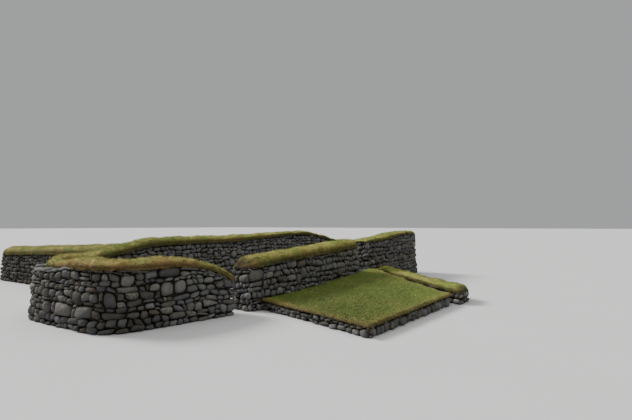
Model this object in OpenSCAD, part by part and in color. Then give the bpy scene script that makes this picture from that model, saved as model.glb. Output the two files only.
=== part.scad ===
// Roofless turf house: thick drystone walls under turf, with a raised terrace and two outer walls.
// Lengths are in millimetres. +X runs along the house to its far gable, -Y is the side of the doorways.
// Every wall is a row of stations. A station holds the foot and the lean of both faces and its heights.

/* [House plan] */
// Length of the house over its outer faces, at the floor
house_len = 20400; // [18000:100:22000]
// Width of the house over its outer faces at either gable
gable_w = 5000; // [4600:100:5600]
// How far each long wall bows outwards at its middle
wall_bow = 900; // [500:50:1200]
// Thickness of the house walls at the floor
wall_t = 1000; // [850:50:1100]
// Lean of every house wall face, as inward run for one of rise
wall_batter = 0.07; // [0.02:0.01:0.1]
// Radius of the rounded outer corner by the near doorway
near_front_r = 1000; // [300:50:1200]
// Radius of the near outer corner at the back
near_back_r = 1700; // [300:50:1800]
// Radius of the far outer corner at the front
far_front_r = 250; // [150:50:1200]
// Radius of the far outer corner at the back
far_back_r = 800; // [300:50:1200]
// Radius of the four corners inside the house
inner_r = 350; // [150:50:500]

/* [Doorways] */
// From the near gable to the near doorway
near_door_from = 4200; // [3600:50:5000]
// Width of the near doorway
near_door_w = 650; // [500:10:900]
// Length of front wall between the two doorways
between_doors = 7010; // [6000:50:7600]
// Width of the far doorway
far_door_w = 960; // [700:10:1200]
// Height of the stone threshold in the far doorway
threshold_h = 790; // [650:10:950]

/* [Heights of the stone] */
// Front wall at the rounded near corner
near_corner_h = 1700; // [1500:10:2000]
// Front wall at the near side of the near doorway
near_jamb_h = 1120; // [900:10:1500]
// Front wall at the far side of the near doorway
middle_start_h = 1440; // [1200:10:1700]
// Front wall at the near side of the far doorway
middle_end_h = 1940; // [1600:10:2100]
// Front wall at the far side of the far doorway
far_start_h = 2110; // [1800:10:2300]
// Front wall at the far corner
far_corner_h = 2410; // [2100:10:2600]
// Far gable wall
far_gable_h = 1620; // [1400:10:2000]
// Back wall at the far corner
back_far_h = 1800; // [1500:10:2200]
// Highest point of the back wall
back_peak_h = 2390; // [2100:10:2600]
// Back wall at its middle
back_mid_h = 2110; // [1900:10:2300]
// Near gable wall at its back corner
near_back_h = 1560; // [1300:10:1800]

/* [Turf on the walls] */
// Depth of turf on the near gable and the near front wall
near_turf = 230; // [150:10:400]
// Depth of turf on the front wall between the doorways
middle_turf = 310; // [200:10:450]
// Depth of turf on the front wall beyond the far doorway
far_turf = 100; // [80:10:350]
// Depth of turf on the far gable
gable_turf = 240; // [120:10:350]
// Depth of turf on the near half of the back wall
back_turf = 250; // [150:10:400]
// Depth of turf on the back wall from its highest point to its far end
peak_turf = 100; // [80:10:300]
// Depth of turf at the low back corner of the near gable
corner_turf = 230; // [100:10:300]
// How far the turf stands out over a wall face
turf_over = 50; // [20:5:90]
// Upright edge of the turf, below its rounded top
turf_lip = 60; // [30:5:90]
// Length over which the turf rounds down beside a doorway
nose_len = 650; // [300:50:1000]

/* [Terrace] */
// Depth of the terrace out from the middle of the bowed front wall
terrace_depth = 4750; // [3500:50:5500]
// From the near doorway to the terrace, along the front wall
terrace_from_door = 500; // [300:50:900]
// From the far doorway to the far edge of the terrace
terrace_past_door = 400; // [250:50:700]
// Sideways run of the terrace's near edge, out from the house
near_edge_run = 1500; // [800:50:2000]
// Sideways run of the terrace's far edge, out from the house
far_edge_run = 3300; // [2500:50:4000]
// Thickness of the stone walls that hold the terrace
edge_t = 350; // [250:10:450]
// Lean of their outer faces
edge_batter = 0.06; // [0.02:0.01:0.1]
// Thickness of the sod on the terrace
sod_t = 120; // [80:5:160]
// How far the sod stands out over the stone walls
sod_over = 40; // [15:5:70]
// How far the sod's rim is rounded down
sod_round = 50; // [20:5:70]
// Height of the grass at the near corner by the house
terrace_near_h = 390; // [320:10:480]
// Height of the grass at the far corner by the house
terrace_far_h = 850; // [650:10:950]
// Height of the grass at the near outer corner
terrace_out_near_h = 370; // [320:10:480]
// Height of the grass at the far outer corner
terrace_out_far_h = 430; // [340:10:560]

/* [Low wall] */
// Width of the open slot between the terrace and the low wall
slot_w = 350; // [250:10:500]
// Thickness of the low wall
low_t = 900; // [700:50:1100]
// How far the low wall runs out past the terrace
low_past = 250; // [0:50:500]
// Stone height of the low wall at the house
low_house_h = 690; // [550:10:800]
// Stone height of the low wall at its outer end
low_end_h = 440; // [350:10:600]
// Depth of turf on the low wall
low_turf = 200; // [120:10:280]

/* [Yard wall] */
// From the near gable to the yard wall, along the back wall
yard_from = 4000; // [3000:100:6000]
// Thickness of the yard wall at the floor
yard_t = 1000; // [800:50:1200]
// Length of the yard wall, out from the bowed back wall
yard_len = 10400; // [8000:100:12000]
// Stone height of the yard wall at the house
yard_house_h = 1770; // [1600:10:1900]
// Stone height of the yard wall at its outer end
yard_end_h = 1370; // [1200:10:1600]
// Depth of turf on the yard wall
yard_turf = 400; // [200:10:450]

/* [Colours] */
// Colour of the stone
stone_colour = "#4b4a46"; // [#4b4a46, #55534e, #3f3e3b]
// Colour of the grass on the back wall, the terrace and the outer walls
grass_colour = "#7f9a35"; // [#7f9a35, #6f8a30, #8fa045]
// Colour of the dry grass on the front walls
dry_colour = "#a08a3c"; // [#a08a3c, #8f8240, #b0985a]
// Colour of the earth under the sod
earth_colour = "#5a4632"; // [#5a4632, #4a3a2a, #6b553d]

/* [Hidden] */

// Spacing of the stations along a wall
step = 300;
// Stations round a corner, and strips across a turf crown
corner_n = 6;
crown_n = 7;
// Squareness of the turf's rounded crown: 2 is an ellipse, more is boxier
crown_p = 2.6;
// How late each wall top falls or climbs along its length: 1 is even, more is later
near_fall_p = 3.2;
middle_climb_p = 0.85;
back_fall_p = 1.6;
terrace_climb_p = 1.3;
// Share of the turf's crown that is left at the near doorway, the far doorway and the low wall's end
near_nose_left = 0.45;
far_nose_left = 0.3;
low_nose_left = 0.4;
// Where the back wall climbs, from the near corner up to its level stretch and then up to its peak,
// as shares of half the house length
near_climb = [-0.92, -0.43];
peak_climb = [-0.12, 0.5];
// Straight wall that a corner piece keeps beyond its own rounding
corner_spare = 200;
// Rounds of stepping that find where a leaning face is met
meet_n = 6;

// Circle that each long wall's outer face follows, and its centre's distance from the house axis
half_len = house_len / 2;
bow_r = (half_len * half_len + wall_bow * wall_bow) / (2 * wall_bow);
bow_c = bow_r - wall_bow - gable_w / 2;

// Length of a corner piece along the long wall, and half the straight length of a gable
corner_arm = max(near_front_r, near_back_r, far_front_r, far_back_r, wall_t + inner_r) + corner_spare;
gable_half = gable_w / 2 - corner_arm;

// Doorway edges and the ends of the long wall pieces, from the middle of the house
long_x = half_len - corner_arm;
near_door_a = near_door_from - half_len;
near_door_b = near_door_a + near_door_w;
far_door_a = near_door_b + between_doors;
far_door_b = far_door_a + far_door_w;
middle_x = (near_door_b + far_door_a) / 2;
far_x = (far_door_b + long_x) / 2;
peak_x = half_len * peak_climb[1];

// The house lies off centre so that the whole group is centred on the origin
yard_end_y = gable_w / 2 + wall_bow + yard_len;
terrace_y = -(gable_w / 2 + wall_bow + terrace_depth);
low_end_y = terrace_y - low_past;
centre_y = (yard_end_y + low_end_y) / 2;

function lerp(a, b, u) = a + (b - a) * u;
function smooth(u) = u * u * (3 - 2 * u);
function share(v, a, b) = max(0, min(1, (v - a) / (b - a)));
function steps(a, b, s = step) = let(n = ceil(abs(b - a) / s)) [for (i = [0:n]) lerp(a, b, i / n)];
function backwards(list) = [for (i = [len(list) - 1:-1:0]) list[i]];

// Height of the front wall's stone at x: it falls to the near doorway and climbs in two flights beyond
function front_h(x) =
    x < near_door_b ?
        lerp(near_corner_h, near_jamb_h,
             pow(share(x, -long_x - corner_arm / 2, near_door_a), near_fall_p)) :
    x < far_door_b ?
        lerp(middle_start_h, middle_end_h,
             pow(share(x, near_door_b, far_door_a), middle_climb_p)) :
        lerp(far_start_h, far_corner_h, smooth(share(x, far_door_b, long_x)));

// How far x is along one of the back wall's two climbs, from 0 to 1
function climbed(x, climb) = smooth(share(x, half_len * climb[0], half_len * climb[1]));

// Height of the back wall's stone at x: up from the near corner, level, a peak, and down at the end
function back_h(x) =
    x < peak_x ?
        lerp(lerp(near_back_h, back_mid_h, climbed(x, near_climb)), back_peak_h, climbed(x, peak_climb)) :
        lerp(back_peak_h, back_far_h, pow(share(x, peak_x, long_x), back_fall_p));

// Rounding of the turf at distance d from a doorway, as a quarter of an ellipse
function nose(d) = let(u = 1 - share(d, 0, nose_len)) sqrt(max(0, 1 - u * u));

// Depth of the turf's crown at x on the front wall
function front_turf(x) =
    x < near_door_b ? near_turf * lerp(near_nose_left, 1, nose(near_door_a - x)) :
    x < far_door_b ? middle_turf * nose(x - near_door_b) * nose(far_door_a - x) :
        far_turf * lerp(far_nose_left, 1, nose(x - far_door_b));

// Depth of the turf's crown at x on the back wall
function back_crown(x) = lerp(back_turf, peak_turf, climbed(x, peak_climb));

// A station: outer foot, its inward lean, inner foot, its inward lean, stone height, turf depth
function station(out, out_in, inn, inn_in, h, turf) = [out, out_in, inn, inn_in, h, turf];

// Station on the long wall at x, with side -1 for the front and 1 for the back
function long_station(x, side, h, turf) =
    let(a = asin(x / bow_r), d = [sin(a), side * cos(a)], c = [0, -side * bow_c])
    station(c + bow_r * d, -d, c + (bow_r - wall_t) * d, d, h, turf);

// Stations of a long wall from x = a to x = b
function front_run(a, b) = [for (x = steps(a, b)) long_station(x, -1, front_h(x), front_turf(x))];
function back_run(a, b) = [for (x = steps(a, b)) long_station(x, 1, back_h(x), back_crown(x))];

// Centre of a circle of radius r that touches the line x = edge and lies inside the circle of radius big
function fillet_c(edge, big, r) = [edge - r, sqrt(pow(big - r, 2) - pow(edge - r, 2)) - bow_c];

// Stations round a corner from the long wall to the gable, in the quarter that flip mirrors to its place
function corner_run(flip, r, h0, h1, t0, t1) =
    let(
        co = fillet_c(half_len, bow_r, r),
        ci = fillet_c(half_len - wall_t, bow_r - wall_t, inner_r),
        ao = atan2(co[1] + bow_c, co[0]),
        ai = atan2(ci[1] + bow_c, ci[0]),
        first = long_station(long_x, 1, h0, t0),
        n = corner_n + 2
    )
    [for (i = [0:n])
        let(
            u = smooth(i / n),
            k = (i - 1) / corner_n,
            o = [cos(lerp(ao, 0, k)), sin(lerp(ao, 0, k))],
            q = [cos(lerp(ai, 0, k)), sin(lerp(ai, 0, k))],
            s = i == 0 ? first :
                i == n ? [[half_len, gable_half], [-1, 0], [half_len - wall_t, gable_half], [1, 0]] :
                    [co + r * o, -o, ci + inner_r * q, q]
        )
        station(
            [flip[0] * s[0][0], flip[1] * s[0][1]], [flip[0] * s[1][0], flip[1] * s[1][1]],
            [flip[0] * s[2][0], flip[1] * s[2][1]], [flip[0] * s[3][0], flip[1] * s[3][1]],
            lerp(h0, h1, u), lerp(t0, t1, u)
        )];

// Stations of a gable's straight middle, with end -1 for the near gable and 1 for the far one
function gable_run(end, h0, h1, t0, t1) =
    [for (y = steps(-end * gable_half, end * gable_half))
        let(u = smooth(share(end * y, -gable_half, gable_half)))
        station([end * half_len, y], [-end, 0], [end * (half_len - wall_t), y], [end, 0],
                lerp(h0, h1, u), lerp(t0, t1, u))];

// The four corners and two gables, each in its order round the house
near_front_run = backwards(corner_run([-1, -1], near_front_r,
    front_h(-long_x), near_corner_h, front_turf(-long_x), near_turf));
far_front_run = corner_run([1, -1], far_front_r,
    front_h(long_x), far_gable_h, front_turf(long_x), gable_turf);
far_back_run = backwards(corner_run([1, 1], far_back_r,
    back_h(long_x), far_gable_h, back_crown(long_x), gable_turf));
near_back_run = corner_run([-1, 1], near_back_r,
    back_h(-long_x), near_back_h, back_crown(-long_x), corner_turf);
near_gable_run = gable_run(-1, near_back_h, near_corner_h, corner_turf, near_turf);
far_gable_run = gable_run(1, far_gable_h, far_gable_h, gable_turf, gable_turf);

function at_height(p, z) = [p[0], p[1], z];

// Four points of the stone's section at a station s, from z = 0 to its top
function stone_ring(s) = let(lean = wall_batter * s[4]) [
    at_height(s[0], 0), at_height(s[2], 0),
    at_height(s[2] + s[3] * lean, s[4]), at_height(s[0] + s[1] * lean, s[4]),
];

// Rounded crown of a turf section that rises from z + turf_lip: share of the width, and height
function crown(z, rise) = [for (k = [0:crown_n])
    let(c = cos(180 * k / crown_n), v = sign(c) * pow(abs(c), 2 / crown_p))
    [(1 + v) / 2, z + turf_lip + rise * pow(max(0, sin(180 * k / crown_n)), 2 / crown_p)]];

// Points of the turf's section: a flat bed on the stone, an upright lip and a rounded crown
function turf_ring(s) =
    let(
        o = s[0] + s[1] * wall_batter * s[4], i = s[2] + s[3] * wall_batter * s[4],
        oo = o - s[1] * turf_over, ii = i - s[3] * turf_over, z = s[4]
    )
    concat(
        [at_height(oo, z), at_height(o, z), at_height(i, z), at_height(ii, z)],
        [for (c = crown(z, s[5])) at_height(lerp(oo, ii, c[0]), c[1])]
    );

// Triangles between neighbouring rings of m points; the bed and the stone under it split the same way
function skin_faces(n, m, other) = concat(
    [for (i = [0:n - 2]) for (j = [0:m - 1])
        let(a = i * m + j, b = i * m + (j + 1) % m, c = b + m, d = a + m)
        each other ? [[a, d, b], [b, d, c]] : [[a, c, b], [a, d, c]]],
    [for (j = [0:m - 3]) [m - 1, j, j + 1]],
    [for (j = [0:m - 3]) let(e = (n - 1) * m) [e + m - 1, e + j + 1, e + j]]
);

// Solid through a list of rings
module skin(rings, other = false) {
    m = len(rings[0]);
    polyhedron([for (r = rings) each r], skin_faces(len(rings), m, other), convexity = 6);
}

module placed() translate([0, -centre_y, 0]) children();

// Stone wall and turf cap through a run of stations
module stone_wall(run) color(stone_colour) placed() skin([for (s = run) stone_ring(s)], true);
module turf_cap(run, colour) color(colour) placed() skin([for (s = run) turf_ring(s)]);

// House walls
module near_gable_wall() stone_wall(near_gable_run);
module near_front_corner() stone_wall(near_front_run);
module front_wall_near() stone_wall(front_run(-long_x, near_door_a));
module front_wall_middle_1() stone_wall(front_run(near_door_b, middle_x));
module front_wall_middle_2() stone_wall(front_run(middle_x, far_door_a));
module front_wall_far_1() stone_wall(front_run(far_door_b, far_x));
module front_wall_far_2() stone_wall(front_run(far_x, long_x));
module far_front_corner() stone_wall(far_front_run);
module far_gable_wall() stone_wall(far_gable_run);
module far_back_corner() stone_wall(far_back_run);
module back_wall_far() stone_wall(back_run(long_x, peak_x));
module back_wall_middle_1() stone_wall(back_run(peak_x, 0));
module back_wall_middle_2() stone_wall(back_run(0, -peak_x));
module back_wall_near() stone_wall(back_run(-peak_x, -long_x));
module near_back_corner() stone_wall(near_back_run);

// Threshold that fills the far doorway up to the terrace
module far_doorway_threshold()
    stone_wall([for (x = steps(far_door_a, far_door_b)) long_station(x, -1, threshold_h, 0)]);

// Turf on the house walls
module near_gable_turf() turf_cap(near_gable_run, dry_colour);
module near_front_corner_turf() turf_cap(near_front_run, dry_colour);
module front_wall_near_turf() turf_cap(front_run(-long_x, near_door_a), dry_colour);
module front_wall_middle_1_turf() turf_cap(front_run(near_door_b, middle_x), dry_colour);
module front_wall_middle_2_turf() turf_cap(front_run(middle_x, far_door_a), dry_colour);
module front_wall_far_1_turf() turf_cap(front_run(far_door_b, far_x), dry_colour);
module front_wall_far_2_turf() turf_cap(front_run(far_x, long_x), dry_colour);
module far_front_corner_turf() turf_cap(far_front_run, dry_colour);
module far_gable_turf() turf_cap(far_gable_run, grass_colour);
module far_back_corner_turf() turf_cap(far_back_run, grass_colour);
module back_wall_far_turf() turf_cap(back_run(long_x, peak_x), grass_colour);
module back_wall_middle_1_turf() turf_cap(back_run(peak_x, 0), grass_colour);
module back_wall_middle_2_turf() turf_cap(back_run(0, -peak_x), grass_colour);
module back_wall_near_turf() turf_cap(back_run(-peak_x, -long_x), grass_colour);
module near_back_corner_turf() turf_cap(near_back_run, grass_colour);

// The terrace is a grid. Columns i run out from the house: 0 and grid_n lie on the inner faces of its
// stone edges, -1 and grid_n + 1 on their outer faces. Rows j run along it, from 0 on the house wall
// to row_n on the inner face of the front edge and row_n + 1 on its outer face.
grid_n = 14;
row_n = 10;
near_edge_x = near_door_b + terrace_from_door;
far_edge_x = far_door_b + terrace_past_door;
near_slope = near_edge_run / terrace_depth;
far_slope = far_edge_run / terrace_depth;
near_k = sqrt(1 + near_slope * near_slope);
far_k = sqrt(1 + far_slope * far_slope);
house_y = -(gable_w / 2 + wall_bow);

// x of the terrace's near and far outer foot lines at y, moved inwards by d across the edge
function near_x(y, d) = near_edge_x + (y - house_y) * near_slope + d * near_k;
function far_x_at(y, d) = far_edge_x + (y - house_y) * far_slope - d * far_k;

// x of column i at y and height z, with over for what stands out past the outer face
function column_x(i, y, z, over = 0) =
    i < 0 ? near_x(y, edge_batter * z - over) :
    i > grid_n ? far_x_at(y, edge_batter * z - over) :
        lerp(near_x(y, edge_t), far_x_at(y, edge_t), i / grid_n);

// y of the front wall's outer face at x and height z
function front_face_y(x, z) = bow_c - sqrt(pow(bow_r - wall_batter * z, 2) - x * x);

// y where column i meets the house wall at height z, found by stepping to it
function meet_y(i, z, over, y = house_y, left = meet_n) =
    left == 0 ? y : meet_y(i, z, over, front_face_y(column_x(i, y, z, over), z), left - 1);

// Point of the terrace grid, with what stands out past its sides and past its front
function grid_point(i, j, z, over = 0, front_over = 0) =
    let(
        y0 = meet_y(i, z, over),
        y1 = terrace_y + edge_t,
        y = j <= row_n ? lerp(y0, y1, j / row_n) : terrace_y + edge_batter * z - front_over
    )
    [column_x(i, y, z, over), y, z];

// Height of the grass over grid point i, j
function grass_h(i, j) =
    let(u = share(i, 0, grid_n), v = share(j, 0, row_n))
    lerp(lerp(terrace_near_h, terrace_far_h, pow(u, terrace_climb_p)),
         lerp(terrace_out_near_h, terrace_out_far_h, u), v);
function bed_h(i, j) = grass_h(i, j) - sod_t;

// Section of a terrace edge wall between grid points o, outside, and q, inside
function edge_ring(o, q) =
    let(zo = bed_h(o[0], o[1]), zq = bed_h(q[0], q[1]))
    [grid_point(o[0], o[1], 0), grid_point(q[0], q[1], 0),
     grid_point(q[0], q[1], zq), grid_point(o[0], o[1], zo)];

module edge_wall(rings) color(stone_colour) placed() skin(rings, true);
module terrace_near_wall() edge_wall([for (j = [0:row_n]) edge_ring([-1, j], [0, j])]);
module terrace_front_wall()
    edge_wall([for (i = [-1:grid_n + 1]) edge_ring([i, row_n + 1], [i, row_n])]);
module terrace_slot_wall()
    edge_wall([for (j = [row_n:-1:0]) edge_ring([grid_n + 1, j], [grid_n, j])]);

// Closed block between two grids of points, top over bottom, given as lists of rows
module grid_block(top, bottom) {
    rows = len(top);
    cols = len(top[0]);
    t = rows * cols;
    polyhedron(
        concat([for (r = top) each r], [for (r = bottom) each r]),
        concat(
            [for (j = [0:rows - 2]) for (i = [0:cols - 2])
                let(a = j * cols + i, b = a + 1, c = b + cols, d = a + cols)
                each [[a, b, c], [a, c, d], [t + a, t + c, t + b], [t + a, t + d, t + c]]],
            [for (i = [0:cols - 2])
                let(a = i, b = (rows - 1) * cols + i)
                each [[a, t + a, t + a + 1], [a, t + a + 1, a + 1],
                      [b, b + 1, t + b + 1], [b, t + b + 1, t + b]]],
            [for (j = [0:rows - 2])
                let(a = j * cols, b = j * cols + cols - 1)
                each [[a, a + cols, t + a + cols], [a, t + a + cols, t + a],
                      [b, t + b, t + b + cols], [b, t + b + cols, b + cols]]]
        ),
        convexity = 6
    );
}

// Earth between the stone edges
module terrace_earth()
    color(earth_colour) placed() grid_block(
        [for (j = [0:row_n]) [for (i = [0:grid_n]) grid_point(i, j, bed_h(i, j))]],
        [for (j = [0:row_n]) [for (i = [0:grid_n]) grid_point(i, j, 0)]]
    );

// Sod over the earth and the stone edges, with a rounded rim past them
rim_cols = concat([-2, -1], [for (i = [0:grid_n]) i], [grid_n + 1, grid_n + 2]);
rim_rows = concat([for (j = [0:row_n]) j], [row_n + 1, row_n + 2]);
function past_side(i) = i < -1 || i > grid_n + 1;
function past_front(j) = j > row_n + 1;
function sod_point(i, j, z) = grid_point(
    max(-1, min(grid_n + 1, i)), min(j, row_n + 1), z,
    past_side(i) ? sod_over : 0, past_front(j) ? sod_over : 0);
function sod_h(i, j) = grass_h(i, j) - (past_side(i) || past_front(j) ? sod_round : 0);
module terrace_turf()
    color(grass_colour) placed() grid_block(
        [for (j = rim_rows) [for (i = rim_cols) sod_point(i, j, sod_h(i, j))]],
        [for (j = rim_rows) [for (i = rim_cols) sod_point(i, j, bed_h(i, j))]]
    );

// Low wall beyond the slot, running out from the house beside the terrace
function low_meet(d, z, y = house_y, left = meet_n) =
    left == 0 ? y : low_meet(d, z, front_face_y(far_x_at(y, d), z), left - 1);
low_n = 18;
function low_at(d, z, u) = let(y = lerp(low_meet(d, z), low_end_y, u)) [far_x_at(y, d), y, z];
function low_stone_ring(u) =
    let(h = lerp(low_house_h, low_end_h, u), o = -slot_w, i = -slot_w - low_t, b = edge_batter * h)
    [low_at(o, 0, u), low_at(i, 0, u), low_at(i + b, h, u), low_at(o - b, h, u)];
function low_turf_ring(u) =
    let(
        h = lerp(low_house_h, low_end_h, u),
        b = edge_batter * h,
        o = -slot_w - b, i = -slot_w - low_t + b,
        oo = o + turf_over, ii = i - turf_over,
        round_end = nose((1 - u) * (low_meet(o, h) - low_end_y))
    )
    concat(
        [low_at(oo, h, u), low_at(o, h, u), low_at(i, h, u), low_at(ii, h, u)],
        [for (c = crown(h, (low_turf - turf_lip) * lerp(low_nose_left, 1, round_end)))
            low_at(lerp(oo, ii, c[0]), c[1], u)]
    );
module low_wall() color(stone_colour) placed() skin([for (k = [0:low_n]) low_stone_ring(k / low_n)], true);
module low_wall_turf() color(grass_colour) placed() skin([for (k = [0:low_n]) low_turf_ring(k / low_n)]);

// Yard wall, square to the house axis, from the back wall's outer face to its own end
yard_x = yard_from - half_len;
function back_face_y(x, z) = sqrt(pow(bow_r - wall_batter * z, 2) - x * x) - bow_c;
function yard_h(u) = lerp(yard_house_h, yard_end_h, u);
function yard_at(x, z, u, from = 0) = [x, lerp(back_face_y(x, z) + from, yard_end_y, u), z];
function yard_stone_ring(u) =
    let(h = yard_h(u), b = wall_batter * h, i = yard_x, o = yard_x + yard_t)
    [yard_at(o, 0, u), yard_at(i, 0, u), yard_at(i + b, h, u), yard_at(o - b, h, u)];
function yard_turf_ring(u, from = 0) =
    let(
        h = yard_h(u), b = wall_batter * h,
        o = yard_x + yard_t - b, i = yard_x + b, oo = o + turf_over, ii = i - turf_over
    )
    concat(
        [yard_at(oo, h, u, from), yard_at(o, h, u, from), yard_at(i, h, u, from), yard_at(ii, h, u, from)],
        [for (c = crown(h, yard_turf - turf_lip)) yard_at(lerp(oo, ii, c[0]), c[1], u, from)]
    );
yard_n = 32;
yard_mid = yard_n / 2;
module yard_stone(a, b) color(stone_colour) placed()
    skin([for (k = [a:b]) yard_stone_ring(k / yard_n)], true);
module yard_wall_inner() yard_stone(0, yard_mid);
module yard_wall_outer() yard_stone(yard_mid, yard_n);

// The yard turf is laid on to the middle of the back wall and fitted round that wall and its turf
module yard_wall_inner_turf() color(grass_colour) difference() {
    placed() skin(concat(
        [yard_turf_ring(0, -wall_t / 2)], [for (k = [0:yard_mid]) yard_turf_ring(k / yard_n)]));
    back_wall_near_turf();
    back_wall_near();
    back_wall_middle_2_turf();
    back_wall_middle_2();
}
module yard_wall_outer_turf() color(grass_colour) placed()
    skin([for (k = [yard_mid:yard_n]) yard_turf_ring(k / yard_n)]);

near_gable_wall();
near_front_corner();
front_wall_near();
front_wall_middle_1();
front_wall_middle_2();
far_doorway_threshold();
front_wall_far_1();
front_wall_far_2();
far_front_corner();
far_gable_wall();
far_back_corner();
back_wall_far();
back_wall_middle_1();
back_wall_middle_2();
back_wall_near();
near_back_corner();
near_gable_turf();
near_front_corner_turf();
front_wall_near_turf();
front_wall_middle_1_turf();
front_wall_middle_2_turf();
front_wall_far_1_turf();
front_wall_far_2_turf();
far_front_corner_turf();
far_gable_turf();
far_back_corner_turf();
back_wall_far_turf();
back_wall_middle_1_turf();
back_wall_middle_2_turf();
back_wall_near_turf();
near_back_corner_turf();
terrace_near_wall();
terrace_front_wall();
terrace_slot_wall();
terrace_earth();
terrace_turf();
low_wall();
low_wall_turf();
yard_wall_inner();
yard_wall_outer();
yard_wall_inner_turf();
yard_wall_outer_turf();
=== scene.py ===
"""Looks of a roofless turf house, made over its CAD frame.

The house, its terrace, its low wall and its yard wall get laid stones, turf and blades of grass. Walls
are read from the frame: each one is a strip between its foot line and its top line, and the stones lie
in courses on that strip. Lengths are in metres.
"""

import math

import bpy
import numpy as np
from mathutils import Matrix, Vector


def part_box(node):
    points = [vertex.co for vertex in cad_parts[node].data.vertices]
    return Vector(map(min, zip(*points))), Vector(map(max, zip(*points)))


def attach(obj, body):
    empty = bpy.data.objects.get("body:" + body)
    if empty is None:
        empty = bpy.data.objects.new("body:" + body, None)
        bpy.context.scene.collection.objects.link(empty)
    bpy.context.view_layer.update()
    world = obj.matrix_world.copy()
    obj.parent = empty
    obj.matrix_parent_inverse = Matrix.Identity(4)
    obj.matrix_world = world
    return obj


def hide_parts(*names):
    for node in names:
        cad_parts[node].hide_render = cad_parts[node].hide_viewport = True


bl_info = {
    "name": "Turf House Looks",
    "version": (1, 0, 0),
    "blender": (4, 5, 0),
    "location": "View3D > Sidebar > Turf House",
    "description": "Lays the stones and the turf of a roofless longhouse over its CAD frame",
    "category": "Object",
}

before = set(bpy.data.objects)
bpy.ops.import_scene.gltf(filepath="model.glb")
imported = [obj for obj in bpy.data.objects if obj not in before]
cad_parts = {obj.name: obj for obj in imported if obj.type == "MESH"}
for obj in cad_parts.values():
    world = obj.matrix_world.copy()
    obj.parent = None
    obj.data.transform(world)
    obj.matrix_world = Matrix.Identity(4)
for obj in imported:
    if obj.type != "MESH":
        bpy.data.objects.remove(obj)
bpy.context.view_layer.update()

# House walls in their order round the house, from the far doorway to the near one and between them
ROUND = [
    "front_wall_far_1", "front_wall_far_2", "far_front_corner", "far_gable_wall", "far_back_corner",
    "back_wall_far", "back_wall_middle_1", "back_wall_middle_2", "back_wall_near", "near_back_corner",
    "near_gable_wall", "near_front_corner", "front_wall_near",
]
MIDDLE = ["front_wall_middle_1", "front_wall_middle_2"]
BARE_TOPS = ["near_back_corner", "near_gable_wall"]
YARD = ["yard_wall_inner", "yard_wall_outer"]
TERRACE = ["terrace_near_wall", "terrace_front_wall", "terrace_slot_wall"]

# Directions round the house centre from which the two runs of house wall are counted, and the ways
# along the straight walls
ROUND_START = math.radians(-60)
MIDDLE_START = math.radians(190)
TERRACE_WAYS = [(0, -1), (1, 0), (0, 1)]
LOW_WAY, YARD_WAY = (0, -1), (0, 1)

# Corners this low belong to a wall's foot
FOOT = 0.001

# Turns of a foot line sharper than this angle are rounded over this reach, and steps as short as the
# last number are left out
SHARP_TURN = math.radians(40)
TURN_REACH = 0.08
SHORT_STEP = 0.002

STONE_SEED = 11
TURF_SEED = 23

# Scale of the stones at places along the house, from its near gable to its far one, then how much
# smaller those of the inner faces are
SCALES = ([-9.0, -5.5, -3.0, 10.0], [1.3, 1.42, 1.4, 1.25])
INNER_SCALE = 0.9

# Courses: the height of a plain one, the least height, how near the bed of the top course a line joins
# it, how far lines follow a wall's top, and how far they wander
COURSE = 0.135
LEAST_COURSE = 0.075
BED_REACH = 0.065
FOLLOW = 0.4
WANDER = 0.05

# Stones: lengths of plain and top ones in courses, the spread of those lengths, the tilt of a joint, the
# shares that are two courses tall, split in two and wedged with a small one, the shortest run that is
# laid, and the volume in cubic metres that a stone has to pass
PLAIN_LENGTH, CAP_LENGTH = 1.75, 2.2
LENGTH_SPREAD = 0.38
JOINT_TILT = 0.055
TALL_SHARE, SPLIT_SHARE, WEDGE_SHARE = 0.05, 0.06, 0.5
SHORT_RUN = 0.03
PEBBLE = 0.00002

# Points round a stone's rim, the rings between its middle and its rim as shares of its size, how deep
# its rim and its back lie, and the waves in its outline: how many go round it and their mean height
RIM_POINTS = 12
RING_SHARES = (0.5, 0.84)
RIM_DEPTH = 0.055
STONE_DEPTH = 0.10
RIM_WAVES = [(2, 0.03), (3, 0.045), (4, 0.03), (5, 0.02)]

# Kinds of stone: plain, top course, wedge, and from this number on those that stand out
PLAIN, TOP, WEDGE, FIRST_FEATURE = 0, 1, -1, 2

# How far behind the stones the dark core lies
CORE_DEPTH = 0.09

# Slabs on the near ledge and on the threshold: their scale and the height of their last course, then how
# much they swell
LEDGE_SLABS, THRESHOLD_SLABS = (2.2, 0.25), (2.4, 0.3)
SLAB_SWELL = 0.4

# Tone of the stones and its spread, how much lighter those on top are, and the shares of them that are
# warm and that bear lichen; then how much darker the near end is, and where along the house it starts
STONE_TONE = (0.38, 0.18)
TOP_LIGHT = 0.12
WARM_SHARE, LICHEN_SHARE = 0.06, 0.12
NEAR_SHADE = 0.17
NEAR_END = -3.0

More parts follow.
